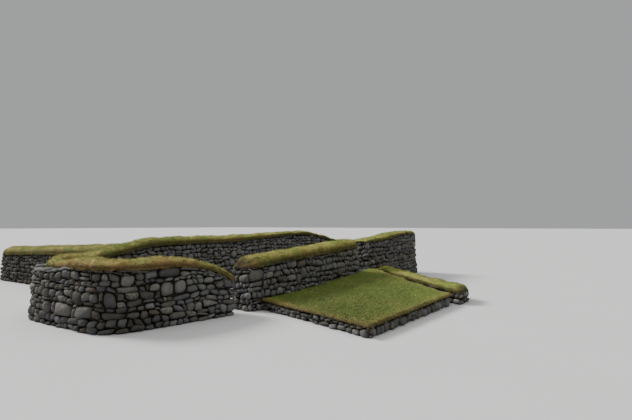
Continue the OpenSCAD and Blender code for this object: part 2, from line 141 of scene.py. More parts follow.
# Stones that stand out: a place in plan near them, their length, the heights of bed and top, then how
# light, how warm and how covered in lichen they are. A tone below 0 leaves the place empty.
ROUND_STONES = [
    (-10.2, -3.18, 0.94, 0.38, 0.70, 0.65, 0.3, 0),
    (-10.2, -4.25, 0.75, 0.41, 0.68, 0.3, 0, 0),
    (-10.2, -4.42, 0.50, 0.7, 0.96, 0.4, 0.9, 0),
    (-10.19, -4.47, 0.48, 1.02, 1.23, 0.4, 0.8, 0),
    (-9.5, -5.31, 0.44, 1.31, 1.47, 0.75, 0, 0),
    (-8.88, -5.42, 0.30, 0.46, 0.69, 0.95, 0, 0),
    (-8.36, -5.5, 0.40, 0.94, 1.2, 0.85, 0, 0.3),
    (-7.95, -5.55, 0.40, 0.94, 1.2, 0.9, 0, 0),
    (-8.27, -5.5, 0.70, 1.42, 1.66, 0.1, 0, 0),
    (2.65, -5.98, 0.40, 1.95, 2.12, 1.3, 0, 0.6),
    (3.55, -6.0, 1.3, 1.93, 2.07, 0.1, 0, 0),
    (3.21, -6.0, 0.38, 0.0, 0.72, -1, 0, 0),
    (3.21, -6.0, 0.62, 0.72, 0.85, 0.5, 0, 0),
]
MIDDLE_STONES = [
    (-5.03, -5.9, 0.72, 1.09, 1.33, 0.6, 0.2, 0),
    (-5.03, -5.9, 0.70, 0.86, 1.07, 0.8, 0, 0),
    (-5.05, -5.9, 0.62, 0.62, 0.8, 0.7, 0, 0),
]
LOW_WALL_STONES = [
    (0.25, -11.1, 0.42, 0.15, 0.38, 0.9, 0, 1.0),
    (0.72, -11.1, 0.40, 0.2, 0.44, 1.0, 0, 1.0),
    (0.05, -10.9, 0.34, 0.0, 0.2, 0.8, 0, 0.8),
]

# Dryness of the front's turf at places along the house, at its outer lip and on its top, then that of
# the low wall and the yard wall
FRONT_DRYNESS = ([-10.2, -9.6, -7.7, -7.1, -6.0, -5.3, -4.5, 1.6, 2.6, 8.6],
                 [0.4, 0.8, 0.85, 0.5, 0.3, 0.65, 0.3, 0.3, 0.25, 0.2])
TOP_DRYNESS = ([-10.2, -8.6, -7.1, -5.3, 1.6, 2.6, 8.6], [0.2, 0.4, 0.4, 0.3, 0.15, 0.12, 0.1])
WALL_DRYNESS = 0.32

# A cap's free end: how far it is carried past its stones, where its rounding starts, and the length
# at its end over which it keeps its full height before that rounding. Each side draws in by a share
# of the rounding.
CAP_END = (0.08, 0.16, 0.0)
BLUNT_END = (0.06, 0.42, 0.7)
YARD_START, LOW_START = (0.5, 0, 0), (0.03, 0, 0)
END_TAPER = 0.5

# A turf cap: how far it stands out past its stones, the step between its rings, its points over the
# crown and their power, and the points over which a sharp turn is rounded. The crown lies under the
# CAD's by its sink, for the blades that stand on it.
CAP_OVER = 0.07
CAP_STEP = 0.05
CROWN_POINTS = 25
CROWN_P = 2.25
SOFT_POINTS = 9
CROWN_SINK = 0.035

# Points at a cap's edge, from its bed to its lip: in from the stones, up, down by share of the fringe,
# and how earthy they are. The first two are its bed.
CAP_FRINGE = [(0.10, 0.004, 0, 1.0), (0.03 - CAP_OVER, 0, 0.7, 1.0), (-CAP_OVER, 0, 1.0, 0.85),
              (-CAP_OVER - 0.014, 0, 0.35, 0.6)]
BED_POINTS = 2

# The turf is set back from the outer edge of the near back corner, where flat stones show
SETBACK = 0.42

# What covers the foot of the house: how far it has to reach past a stone along the terrace, up it,
# and beside a wall, then how far under their tops the yard wall and the low wall cover
COVER_ALONG, COVER_UP, COVER_BESIDE = 0.35, 0.03, 0.1
COVER_DROPS = [("yard_wall_inner", 0.15), ("low_wall", 0.12)]

# The terrace: how far its edge stones rise into its sod, the sod's thickness, and the rows round its
# free edges and along the house: out, down, and down by share of the fringe
EDGE_RISE = 0.04
SOD_THICKNESS = 0.04
SOD_FRINGE = [(0.012, 0.012, 0.0), (0.012, 0.022, 0.4), (-0.03, 0.03, 1.0)]
SOD_TUCK = [(0.07, 0.01, 0)]

# Camera: place, way in plan, pitch in degrees, lens; the sun's side of the sky; reach of the floor
CAMERA_PLACE = (-16.975, -16.637, 2.892)
CAMERA_WAY = (0.8195, 0.573)
CAMERA_PITCH = 1.83
CAMERA_LENS = 26.77
SUN_FROM = (-0.17, 0.856, 0.65)
FLOOR_REACH = 400


def lengths(vectors):
    """Lengths of vectors along the last axis."""
    return np.linalg.norm(vectors, axis=-1)


def unit(vectors):
    """Vectors along the last axis at length 1."""
    return vectors / np.maximum(lengths(vectors), 1e-9)[..., None]


def distances(points):
    """Distance along a line of points to each of them."""
    return np.append(0, np.cumsum(lengths(np.diff(points, axis=0))))


def along_line(places, run, line):
    """Rows of a line, known at the places run, at other places on the straight lines between."""
    return np.stack([np.interp(places, run, column) for column in line.T], axis=-1)


def rounded(wave, power):
    """sign(w) |w|^(2 / p) of a cosine or a sine, for outlines between a circle and a square."""
    return np.sign(wave) * abs(wave) ** (2 / power)


def smooth(t):
    """3 t^2 - 2 t^3, from 0 to 1 with level ends."""
    return t * t * (3 - 2 * t)


def numbers_of(items, key, each=3, kind=np.float32):
    """Numbers of a collection of mesh items, in rows of three."""
    numbers = np.empty(len(items) * each, kind)
    items.foreach_get(key, numbers)
    return numbers.reshape(-1, 3)


def node_mesh(name, up=None):
    """Corners of a CAD node, each once. With up, only those of faces whose normal rises above up."""
    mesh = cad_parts[name].data
    points = numbers_of(mesh.vertices, "co").astype(float)
    if up is not None:
        rising = numbers_of(mesh.polygons, "normal")[:, 2] > up
        points = points[numbers_of(mesh.loops, "vertex_index", 1, np.int32)[rising].ravel()]
    return np.unique(np.round(points, 4), axis=0)


def stations_of(name, lean=0.0):
    """Stations of a wall node, each a foot point and its top point in one row of six.

    A foot's own top is the corner whose distance in plan differs least from lean times its height.
    """
    points = node_mesh(name)
    low = points[:, 2] < FOOT
    feet, tops = points[low], points[~low]
    reach = lengths(tops[None, :, :2] - feet[:, None, :2])
    misfit = abs(reach - lean * tops[None, :, 2]) + reach / 10
    return np.hstack([feet, tops[misfit.argmin(axis=1)]])


def house_sides(names, start):
    """Outer and inner sides of a run of house walls, one pair for each node, counted from start.

    An outer face leans towards the house centre, halfway between the gables, and an inner one away from
    it. The lean is the inward run for one of rise, from the far gable's outer face.
    """
    near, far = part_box("near_gable_wall"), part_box("far_gable_wall")
    centre = np.array([(near[0].x + far[1].x) / 2, (near[0].y + near[1].y) / 2])
    gable = node_mesh("far_gable_wall")
    low = gable[:, 2] < FOOT
    lean = (gable[low, 0].max() - gable[~low, 0].max()) / gable[:, 2].max()
    pairs = []
    for name in names:
        stations = stations_of(name, lean)
        feet, tops = stations[:, :2], stations[:, 3:5]
        angle = (np.arctan2(feet[:, 1] - centre[1], feet[:, 0] - centre[0]) - start) % (2 * math.pi)
        outer = ((tops - feet) * (centre - feet)).sum(axis=1) > 0
        pairs.append([stations[side][np.argsort(angle[side])] for side in (outer, ~outer)])
    return pairs


def straight_sides(name, along):
    """Right and left sides of a straight wall node, each in the order of the way along it.

    The sides lie either side of the line through the middle of its feet, along the one of their two
    main spreads that comes nearest to that way.
    """
    stations = stations_of(name)
    feet = stations[:, :2]
    spreads = np.linalg.svd(feet - feet.mean(axis=0))[2]
    line = spreads[abs(spreads @ along).argmax()]
    line = line * np.sign(line @ along)
    left = (feet - feet.mean(axis=0)) @ [-line[1], line[0]] > 0
    order = np.argsort(feet @ line)
    return [stations[order[side[order]]] for side in (~left, left)]


def joined(pairs):
    """Both sides of a run of walls, with each shared end once, and the owner of each station."""
    outer, inner = (np.vstack([side[0]] + [part[1:] for part in side[1:]]) for side in zip(*pairs))
    owners = np.repeat(np.arange(len(pairs)), [len(pair[0]) - 1 for pair in pairs])
    return outer, inner, np.append(owners, len(pairs) - 1)


def sized(stations, scales):
    """Stations with the scale of their stones in a seventh column."""
    return np.column_stack([stations, np.broadcast_to(scales, len(stations))])


def eased(stations, owners, closed):
    """Stations with every sharp corner rounded: (1 - t)^2 a + 2 t (1 - t) corner + t^2 b."""
    before = np.roll(stations, 1, axis=0) - stations
    after = np.roll(stations, -1, axis=0) - stations
    back, on = lengths(before[:, :3]), lengths(after[:, :3])
    sharp = -(before[:, :3] * after[:, :3]).sum(axis=1) < math.cos(SHARP_TURN) * back * on
    if not closed:
        sharp[[0, -1]] = False
    t = np.linspace(0, 1, 6)[:, None]
    rows = []
    for i, corner in enumerate(stations):
        if sharp[i]:
            a = corner + before[i] * min(0.45, TURN_REACH / back[i])
            b = corner + after[i] * min(0.45, TURN_REACH / on[i])
            rows.append((1 - t) ** 2 * a + 2 * t * (1 - t) * corner + t ** 2 * b)
        else:
            rows.append(corner[None])
    return np.vstack(rows), np.repeat(owners, [len(row) for row in rows])


class Strip:
    """A band of wall between its foot line and its top line, with the wall on its left.

    A place on it is s, the distance along the foot line, z, the distance up the leaning face, and out,
    the distance in front of the face: foot(s) + (top(s) - foot(s)) z / rise(s) + normal(s) out.
    """

    def __init__(self, nodes, stations, owners=None, closed=False):
        if owners is None:
            owners = np.zeros(len(stations), int)
        stations, owners = eased(stations, owners, closed)
        if closed:
            stations, owners = np.vstack([stations, stations[:1]]), np.append(owners, owners[0])
        step = lengths(np.diff(stations[:, :3], axis=0))
        keep = np.append(True, step > SHORT_STEP)
        stations, self.owners = stations[keep], owners[keep]
        self.nodes, self.closed = nodes, closed
        self.foot, self.top, self.scale = stations[:, :3], stations[:, 3:6], stations[:, 6]
        self.s = np.append(0, np.cumsum(step[keep[1:]]))
        self.length = self.s[-1]
        self.rise = lengths(self.top - self.foot)
        along = np.gradient(self.foot, self.s, axis=0)
        if closed:
            along[[0, -1]] = along[0] + along[-1]
        self.normal = unit(np.cross(along, self.top - self.foot))

    def turned(self, s):
        """The place s, taken round a closed strip and kept inside an open one."""
        return s % self.length if self.closed else np.clip(s, 0, self.length)

    def read(self, line, s):
        """Values of a line of points, or of numbers, at the places s."""
        if line.ndim == 1:
            return np.interp(self.turned(s), self.s, line)
        return along_line(self.turned(s), self.s, line)

    def at(self, s, z, out):
        foot, top, normal = (self.read(line, s) for line in (self.foot, self.top, self.normal))
        share = (z / self.read(self.rise, s))[..., None]
        return foot + (top - foot) * share + normal * np.asarray(out)[..., None]

    def owner(self, s):
        """Index of the node that holds the place s."""
        return self.owners[np.searchsorted(self.s, self.turned(s), side="right") - 1]

    def nearest(self, x, y):
        """Place s of the foot line that lies nearest to x, y in plan."""
        fine = np.linspace(0, self.length, 4000)
        line = self.read(self.foot, fine)
        return fine[np.hypot(line[:, 0] - x, line[:, 1] - y).argmin()]


def round_strip(nodes, outer, inner, owners, closed=False):
    """Strip along the outer side of a run of walls, round its end and back along its inner side."""
    owners = np.concatenate([owners, owners[-2::-1], owners[:1]])
    return Strip(nodes, np.vstack([outer, inner[::-1]]), owners, closed)


def mottle(points, size, seed):
    """Smooth random field from -1 to 1, with random values at the corners of cubes of that size.

    Inside a cube the eight values blend by 3 t^2 - 2 t^3 along each axis.
    """
    q = points / size + 31.7 * seed
    cell = np.floor(q).astype(np.int64)
    t = smooth(q - cell)
    total = 0.0
    for corner in range(8):
        step = np.array([corner & 1, corner >> 1 & 1, corner >> 2])
        at = cell + step
        mix = (at[..., 0] * 73856093) ^ (at[..., 1] * 19349663) ^ (at[..., 2] * 83492791)
        mix = ((mix ^ (mix >> 13)) * 1274126177) & 0x7FFFFFFF
        mix = (mix ^ (mix >> 15)) & 0xFFFF
        total = total + np.where(step == 1, t, 1 - t).prod(axis=-1) * (mix / 32767.5 - 1)
    return total


def new_object(name, data):
    """A new object in the scene, with that data."""
    thing = bpy.data.objects.new(name, data)
    bpy.context.scene.collection.objects.link(thing)
    return thing


class Skin:
    """Gathers the surfaces of one piece: points, faces with three, four or more sides, and numbers."""

    def __init__(self):
        self.points, self.faces, self.values, self.count = [], [], [], 0

    def add(self, points, faces, **values):
        """Adds points and a list of face arrays, with one number or one row of numbers for each name."""
        points = np.asarray(points, float).reshape(-1, 3)
        self.points.append(points)
        self.faces += [np.asarray(face) + self.count for face in faces if len(face)]
        self.values.append({k: np.broadcast_to(np.ravel(v), len(points)) for k, v in values.items()})
        self.count += len(points)

    def piece(self, name, finish, nodes, slot):
        """Makes the mesh, lets it ride with the house and stand for its CAD nodes."""
        mesh = bpy.data.meshes.new(name)
        mesh.vertices.add(self.count)
        mesh.vertices.foreach_set("co", np.vstack(self.points).astype(np.float32).ravel())
        sides = np.concatenate([np.full(len(face), face.shape[1]) for face in self.faces])
        loops = np.concatenate([face.ravel() for face in self.faces]).astype(np.int32)
        mesh.loops.add(len(loops))
        mesh.loops.foreach_set("vertex_index", loops)
        mesh.polygons.add(len(sides))
        mesh.polygons.foreach_set("loop_start", (np.cumsum(sides) - sides).astype(np.int32))
        mesh.polygons.foreach_set("use_smooth", np.ones(len(sides), bool))
        for key in self.values[0]:
            numbers = np.concatenate([values[key] for values in self.values])
            mesh.attributes.new(key, "FLOAT", "POINT").data.foreach_set("value", numbers.astype(np.float32))
        mesh.update(calc_edges=True)
        mesh.validate()
        mesh.materials.append(finish)
        piece = new_object(name, mesh)
        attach(piece, "root")
        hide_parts(*nodes)


def tube_faces(n, m):
    """Faces of a closed tube through n rings of m points, with an outline at either end."""
    i, j = np.meshgrid(np.arange(n - 1), np.arange(m), indexing="ij")
    a, b = i * m + j, i * m + (j + 1) % m
    ring = np.arange(m)
    return [np.stack([a, a + m, b + m, b], axis=-1).reshape(-1, 4), ring[None],
            (ring[::-1] + (n - 1) * m)[None]]


def grid_faces(n, m):
    """Faces of a closed block between a top grid and a bottom grid, each of n rows by m points."""
    i, j = np.meshgrid(np.arange(n - 1), np.arange(m - 1), indexing="ij")
    a = (i * m + j).ravel()
    top = np.stack([a, a + m, a + m + 1, a + 1], axis=-1)
    rim = np.concatenate([
        np.arange(n - 1) * m, np.arange(m - 1) + (n - 1) * m,
        n * m - 1 - np.arange(n - 1) * m, m - 1 - np.arange(m - 1),
    ])
    on = np.roll(rim, -1)
    return [top, top[:, ::-1] + n * m, np.stack([on, rim, rim + n * m, on + n * m], axis=-1)]


def course_lines(strip, rng, cap_t):
    """Places along a strip, the scale of its stones there, and the height of each course line there.

    Line k is base(k) scale(s) (1 + follow (top(s) / middle top - 1)) + wander(s, k). Lines that come
    near the top are drawn up to the bed of the thin top course.
    """
    samples = np.linspace(0, strip.length, max(12, int(strip.length / 0.1)))
    top, place, scale = (strip.read(line, samples) for line in (strip.rise, strip.foot, strip.scale))
    bed = top - cap_t * (1 + 0.25 * mottle(place, 0.7, 3))
    lines, base = [np.zeros(len(samples))], 0.0
    while (lines[-1] < bed - 0.001).any():
        k = len(lines)
        base += COURSE * rng.uniform(0.8, 1.25) * (1.22 - 0.17 * min(base, 2.2))
        line = base * scale * (1 + FOLLOW * (top / np.median(top) - 1))
        line = line + WANDER * (mottle(place + 9.1 * k, 1.1, 5) + mottle(place, 0.26, 7 + k))
        line = np.maximum(line, lines[-1] + LEAST_COURSE)
        lines.append(np.where(line > bed - BED_REACH, bed, line))
    return samples, scale, np.array([*lines, top])


def free_runs(taken, start, end):
    """Runs between start and end that none of the taken runs covers, without the shortest."""
    free, cursor = [], start
    for left, right in sorted(taken):
        free.append((cursor, left))
        cursor = max(cursor, right)
    return [(left, right) for left, right in [*free, (cursor, end)] if right - left >= SHORT_RUN]


def lay_courses(strip, rng, cap_t, features, stretch, spread):
    """Four-cornered places of the stones on a strip.

    Each course is cut at places that are even in the sum of 1 / length(s), stretched by random lengths.
    Returns rows of s at bottom left, bottom right, top left and top right, then z at the same four,
    then the kind.
    """
    samples, scale, lines = course_lines(strip, rng, cap_t)
    last = len(lines) - 1

    def height(k, s):
        return np.interp(strip.turned(s), samples, lines[min(k, last)])

    taken = [[] for _ in lines]
    rows = []
    for number, (x, y, length, bed, top, tone, _, _) in enumerate(features):
        ends = strip.nearest(x, y) + np.array([-length, length]) / 2
        levels = np.array([height(k, ends.mean()) for k in range(len(lines))])
        low = abs(levels - bed).argmin()
        high = max(low + 1, abs(levels - top).argmin())
        for course in range(low, high):
            taken[course].append(tuple(ends))
        if tone >= 0:
            kind = number + FIRST_FEATURE
            rows.append(np.array([[*ends, *ends, *height(low, ends), *height(high, ends), kind]]))

    for k in range(last):
        kind = TOP if k == last - 1 else PLAIN
        length = (CAP_LENGTH if kind == TOP else PLAIN_LENGTH) * stretch * COURSE * scale ** spread
        measure = np.append(0, np.cumsum(np.diff(samples) / ((length[1:] + length[:-1]) / 2)))
        start = rng.uniform(0, 0.3) if strip.closed else 0.0
        for left, right in free_runs(taken[k], start, strip.length + start):
            reach = np.interp([min(left, strip.length), min(right, strip.length)], samples, measure)
            reach[1] += max(0.0, right - strip.length) / length[0]
            count = max(1, int(round(reach[1] - reach[0])))
            parts = rng.lognormal(0, LENGTH_SPREAD, count)
            cuts = reach[0] + np.append(0, np.cumsum(parts)) / parts.sum() * (reach[1] - reach[0])
            past = np.maximum(0, cuts - measure[-1]) * length[0]
            cuts = np.interp(cuts, measure, samples) + past
            cuts[[0, -1]] = left, right
            tilt = rng.uniform(-JOINT_TILT, JOINT_TILT, count + 1)
            tilt[[0, -1]] = 0
            low, high = cuts - tilt, cuts + tilt
            s = np.stack([low[:-1], low[1:], high[:-1], high[1:]], axis=1)
            middle = (cuts[1:] + cuts[:-1]) / 2
            tall = np.zeros(count, bool)
            if k + 2 < last:
                room = height(k + 2, middle) - height(k + 1, middle) > 0.06
                tall = room & (rng.random(count) < TALL_SHARE) & (cuts[1:] - cuts[:-1] > 0.19)
                taken[k + 1] += [(cuts[i], cuts[i + 1]) for i in np.flatnonzero(tall)]
            z = np.hstack([height(k, s[:, :2]),
                           np.where(tall[:, None], height(k + 2, s[:, 2:]), height(k + 1, s[:, 2:]))])
            above = np.where(tall, height(k + 2, middle), height(k + 1, middle))
            z[:, 2:] += np.maximum(above - z[:, 2:].mean(axis=1), 0)[:, None]
            z[:, :2] += np.minimum(height(k, middle) - z[:, :2].mean(axis=1), 0)[:, None]
            z[:, 2:] = np.maximum(z[:, 2:], z[:, :2] + 0.025)
            rows.append(np.column_stack([s, z, np.full(count, float(kind))]))
    return varied(np.vstack(rows), rng)


def varied(rows, rng):
    """Rows of stones without the thin ones, with some split in two, all swayed, and wedges added.

    A row's area is half the cross product of its diagonals.
    """
    first, second = rows[:, [3, 7]] - rows[:, [0, 4]], rows[:, [2, 6]] - rows[:, [1, 5]]
    area = (first[:, 0] * second[:, 1] - first[:, 1] * second[:, 0]) / 2
    width = np.stack([rows[:, 1] - rows[:, 0], rows[:, 3] - rows[:, 2]])
    tallness = area / np.maximum(width.mean(axis=0), 0.01)
    keep = (tallness > 0.04) & (width.min(axis=0) > 0.06)
    rows, tallness = rows[keep], tallness[keep]

    # Some plain stones are two thin ones, one on the other
    split = (rows[:, 8] == PLAIN) & (tallness > 0.12) & (rng.random(len(rows)) < SPLIT_SHARE)
    share = rng.uniform(0.35, 0.65, (len(rows), 1))
    parting = rows[:, 4:6] + (rows[:, 6:8] - rows[:, 4:6]) * share
    upper = rows[split]
    upper[:, 4:6] = parting[split]
    rows[split, 6:8] = parting[split]
    sway = np.clip(rng.normal(0, 0.02, (2, len(rows), 1)), -0.03, 0.03)
    rows[:, 4:8] += np.where(rows[:, 8:] == PLAIN, sway[0] + sway[1] * [-1, 1, -1, 1], 0)

    # Small stones wedge the gaps where the corners of others meet
    wedged = rows[(rows[:, 8] == PLAIN) & (rows[:, 4] > 0.05) & (rng.random(len(rows)) < WEDGE_SHARE)]
    half = rng.uniform(0.022, 0.045, (len(wedged), 2)) * [1.3, 0.8]
    wedges = np.column_stack([
        wedged[:, :1] + half[:, :1] * [-1, 1, -1, 1], wedged[:, 4:5] + half[:, 1:] * [-1, -1, 1, 1],
        np.full(len(wedged), float(WEDGE)),
    ])
    return np.vstack([rows, upper, wedges])


def stone_faces(count):
    """Triangles of count stones, each with a pole, the rings, a rim and a back pole."""
    m, rings = RIM_POINTS, len(RING_SHARES) + 1
    j = np.arange(m)
    on = (j + 1) % m
    faces = [np.stack([np.zeros(m, int), 1 + j, 1 + on], axis=1)]
    for ring in range(rings - 1):
        a, b = 1 + ring * m + j, 1 + ring * m + on
        faces += [np.stack([a, a + m, b + m], axis=1), np.stack([a, b + m, b], axis=1)]
    last, back = 1 + (rings - 1) * m, 1 + rings * m
    faces = np.vstack([*faces, np.stack([last + j, np.full(m, back), last + on], axis=1)])
    return (faces[None] + (np.arange(count) * (back + 1))[:, None, None]).reshape(-1, 3)


def stone_points(strip, rows, rng, look, swell):
    """Points of the stones, shape (stones, points, 3).

    A rim point at angle a is at sign(cos a) |cos a|^(2/p), sign(sin a) |sin a|^(2/p), times the radius
    1 + the sum of height cos(count a + turn), in the four-cornered place of its stone. At the share r of
    the way out from its pole, the face is at -rim + (bulge + rim) sqrt(1 - r^q), with small lumps and
    a tilt. Stones in the upper part of a wall bend with the curve of its top and stay under it, and under
    the mean of it round them.
    """
    n, m = len(rows), RIM_POINTS
    cap = rows[:, 8] == TOP
    a = (np.arange(m) + 0.5) * 2 * math.pi / m
    p = np.where(cap, rng.uniform(2.8, 4.5, n), rng.uniform(2.3, 4.2, n))[:, None]
    radius = np.ones((n, m))
    for count, height in RIM_WAVES:
        radius += rng.normal(0, height, (n, 1)) * np.cos(count * a + rng.uniform(0, 2 * math.pi, (n, 1)))
    radius = np.clip(radius, 0.8, 1.08)
    rim = np.stack([rounded(np.cos(a), p) * radius, rounded(np.sin(a), p) * radius])
    pole = rng.uniform(-0.25, 0.25, (n, 2, 1)).transpose(1, 0, 2)

    gap = look.joint_width * rng.uniform(0.4, 1.7, (n, 2))
    s = rows[:, 0:4] + np.outer(gap[:, 0] / 2, [1, -1, 1, -1])
    z = rows[:, 4:8] + np.outer(gap[:, 1] / 3, [1, 1, -1, -1])
    wide = abs(s[:, 1] - s[:, 0])
    tall = (z[:, 2] + z[:, 3] - z[:, 0] - z[:, 1]) / 2
    bulge = (swell * look.bulge * np.minimum(wide, tall) * rng.uniform(0.7, 1.3, n))[:, None]
    q = rng.uniform(2.0, 4.0, n)[:, None]
    stand = np.clip(rng.normal(0, 0.012, n), -0.02, 0.02)
    stand = stand + np.select([cap, rows[:, 8] == WEDGE], [0.01, -0.02])
    tilt = rng.normal(0, 0.009, (n, 2))

    places, outs = [pole], [bulge]
    for share in RING_SHARES:
        places.append(pole * (1 - share) + rim * share)
        face = (bulge + RIM_DEPTH) * np.sqrt(1 - share ** q) - RIM_DEPTH
        outs.append(face + rng.normal(0, 0.07, (n, m)) * bulge)
    u, v = np.concatenate([*places, rim, np.zeros((2, n, 1))], axis=2)
    out = np.hstack([*outs, np.full((n, m), -RIM_DEPTH), np.full((n, 1), -STONE_DEPTH)])
    out = out + stand[:, None] + tilt[:, :1] * u + tilt[:, 1:] * v

    weights = np.stack([(1 - u) * (1 - v), (1 + u) * (1 - v), (1 - u) * (1 + v), (1 + u) * (1 + v)])
    place_s, place_z = ((weights * corner.T[:, :, None]).sum(axis=0) / 4 for corner in (s, z))
    left, right = strip.read(strip.rise, s[:, :1]), strip.read(strip.rise, s[:, 1:2])
    chord = left + (right - left) * np.clip((place_s - s[:, :1]) / (s[:, 1:2] - s[:, :1]), 0, 1)
    top = strip.read(strip.rise, place_s)
    place_z += (top - chord) * np.clip(2.5 * place_z / top - 1.5, 0, 1)
    soft = np.mean([strip.read(strip.rise, place_s + step) for step in np.linspace(-0.24, 0.24, 7)], axis=0)
    place_z = np.minimum(place_z, np.minimum(top, soft))
    return strip.at(place_s, np.maximum(place_z, 0.003), out)


def lay_stones(strip, skins, look, rng, features=(), cap_t=0.075, stretch=1.0, spread=1.0, swell=1.0,
               pale=(0.0, 0.0), hidden=None):
    """Lays the stones of a strip and adds each to the skin of the node that holds it.

    Pale holds what the first half of the strip and its second half get on top of their tone. On a run of
    house walls the second half lies on the inner faces, where the lift is painted fill light for their
    shade. A stone that a sharp corner turns inside out is left out: its volume, the sum over its faces of a
    . (b x c) / 6, isn't above that of a pebble.
    """
    rows = lay_courses(strip, rng, cap_t, features, stretch, spread)
    middle = rows[:, 0:4].mean(axis=1)
    if hidden is not None:
        shown = ~hidden(strip.at(middle, rows[:, 4:8].mean(axis=1), np.zeros(len(rows))))
        rows, middle = rows[shown], middle[shown]
    points = stone_points(strip, rows, rng, look, swell)
    a, b, c = np.moveaxis((points - points.mean(axis=1, keepdims=True))[:, stone_faces(1)], 2, 0)
    whole = (a * np.cross(b, c)).sum(axis=(1, 2)) / 6 > PEBBLE
    rows, points, middle = rows[whole], points[whole], middle[whole]
    n = len(rows)
    tone = np.clip(rng.normal(*STONE_TONE, n), 0.1, 1)
    tone -= NEAR_SHADE * np.clip((NEAR_END - points[:, 0, 0]) / 2, 0, 1)
    warm = np.where(rng.random(n) < WARM_SHARE, rng.uniform(0.3, 0.9, n), rng.uniform(-0.6, 0.4, n))
    lichen = np.where(rng.random(n) < LICHEN_SHARE, rng.uniform(0.4, 1, n), 0)
    tone[rows[:, 8] == TOP] += TOP_LIGHT
    # Pale lifts the tone by half of the strip; on a run of house walls the lift on the inner faces is
    # painted fill light for their shade
    tone += np.where(middle < strip.length / 2, *pale)
    looks = np.stack([tone, warm, lichen])
    for number, feature in enumerate(features):
        looks[:, rows[:, 8] == number + FIRST_FEATURE] = np.array(feature[5:])[:, None]
    owner = strip.owner(middle)
    for index, node in enumerate(strip.nodes):
        mine = owner == index
        if mine.any():
            tone, warm, lichen = np.repeat(looks[:, mine], points.shape[1], axis=1)
            skins[node].add(points[mine], [stone_faces(mine.sum())], tone=tone, warm=warm,
                            lichen=lichen, joint=0.0)


def add_core(skin, outer, inner, ends=(0.0, 0.0)):
    """Adds the dark earth core of a wall, set back behind the stones of both faces.

    Each ring is outer foot, outer top, inner top and inner foot, moved in across the wall, and an open
    end is moved in along it.
    """
    shift = np.zeros((len(outer), 3))
    shift[:, :2] = unit(inner[:, :2] - outer[:, :2]) * CORE_DEPTH
    rings = np.stack([outer[:, :3] + shift, outer[:, 3:] + shift,
                      inner[:, 3:] - shift, inner[:, :3] - shift], axis=1)
    for end, way, amount in ((0, 1, ends[0]), (-1, -1, ends[1])):
        step = rings[end + way] - rings[end]
        rings[end] += step * (amount / np.linalg.norm(step[0]))
    rings[:, 1:3, 2] -= CORE_DEPTH / 2
    skin.add(rings, tube_faces(len(rings), 4), tone=0.0, warm=0.0, lichen=0.0, joint=1.0)


def lay_walls(strip, pairs, ends, look, rng, **laying):
    """Stones and cores of a run of walls, as one skin for each node.

    Ends holds how far the cores stay back at the two ends of the run.
    """
    skins = {name: Skin() for name in strip.nodes}
    lay_stones(strip, skins, look, rng, **laying)
    last = len(pairs) - 1
    for k, (skin, pair) in enumerate(zip(skins.values(), pairs)):
        add_core(skin, *pair, (ends[0] * (k == 0), ends[1] * (k == last)))
    return skins


def crest_heights(node, outer, inner):
    """Height of the turf's crest over the stone at each station.

    Each corner of the cap belongs to the station whose line across the wall it lies nearest to.
    """
    points = node_mesh(node)
    width = lengths(inner[:, 3:5] - outer[:, 3:5])
    across = unit(inner[:, 3:5] - outer[:, 3:5])
    away = points[:, None, :2] - outer[None, :, 3:5]
    off = abs(away[..., 0] * across[:, 1] - away[..., 1] * across[:, 0])
    over = (away * across).sum(axis=-1)
    off[(over < -0.1) | (over > width + 0.1)] = np.inf
    crest = outer[:, 5].copy()
    np.maximum.at(crest, off.argmin(axis=1), points[:, 2])
    return crest - outer[:, 5]


def softened(line):
    """Line of points with its sharp turns rounded: each point is the mean of those round it."""
    weights = np.ones(SOFT_POINTS) / SOFT_POINTS
    wide = np.pad(line, ((SOFT_POINTS // 2,) * 2, (0, 0)), mode="reflect", reflect_type="odd")
    return np.stack([np.convolve(column, weights, mode="valid") for column in wide.T], axis=1)


def setback(points):
    """How far the turf stays back from the outer edge of the stones: most at the near back corner."""
    x, y = points[:, 0], points[:, 1]
    return SETBACK * smooth(np.clip((y + 3.9) / 1.8, 0, 1) * np.clip((-7.9 - x) / 1.6, 0, 1))


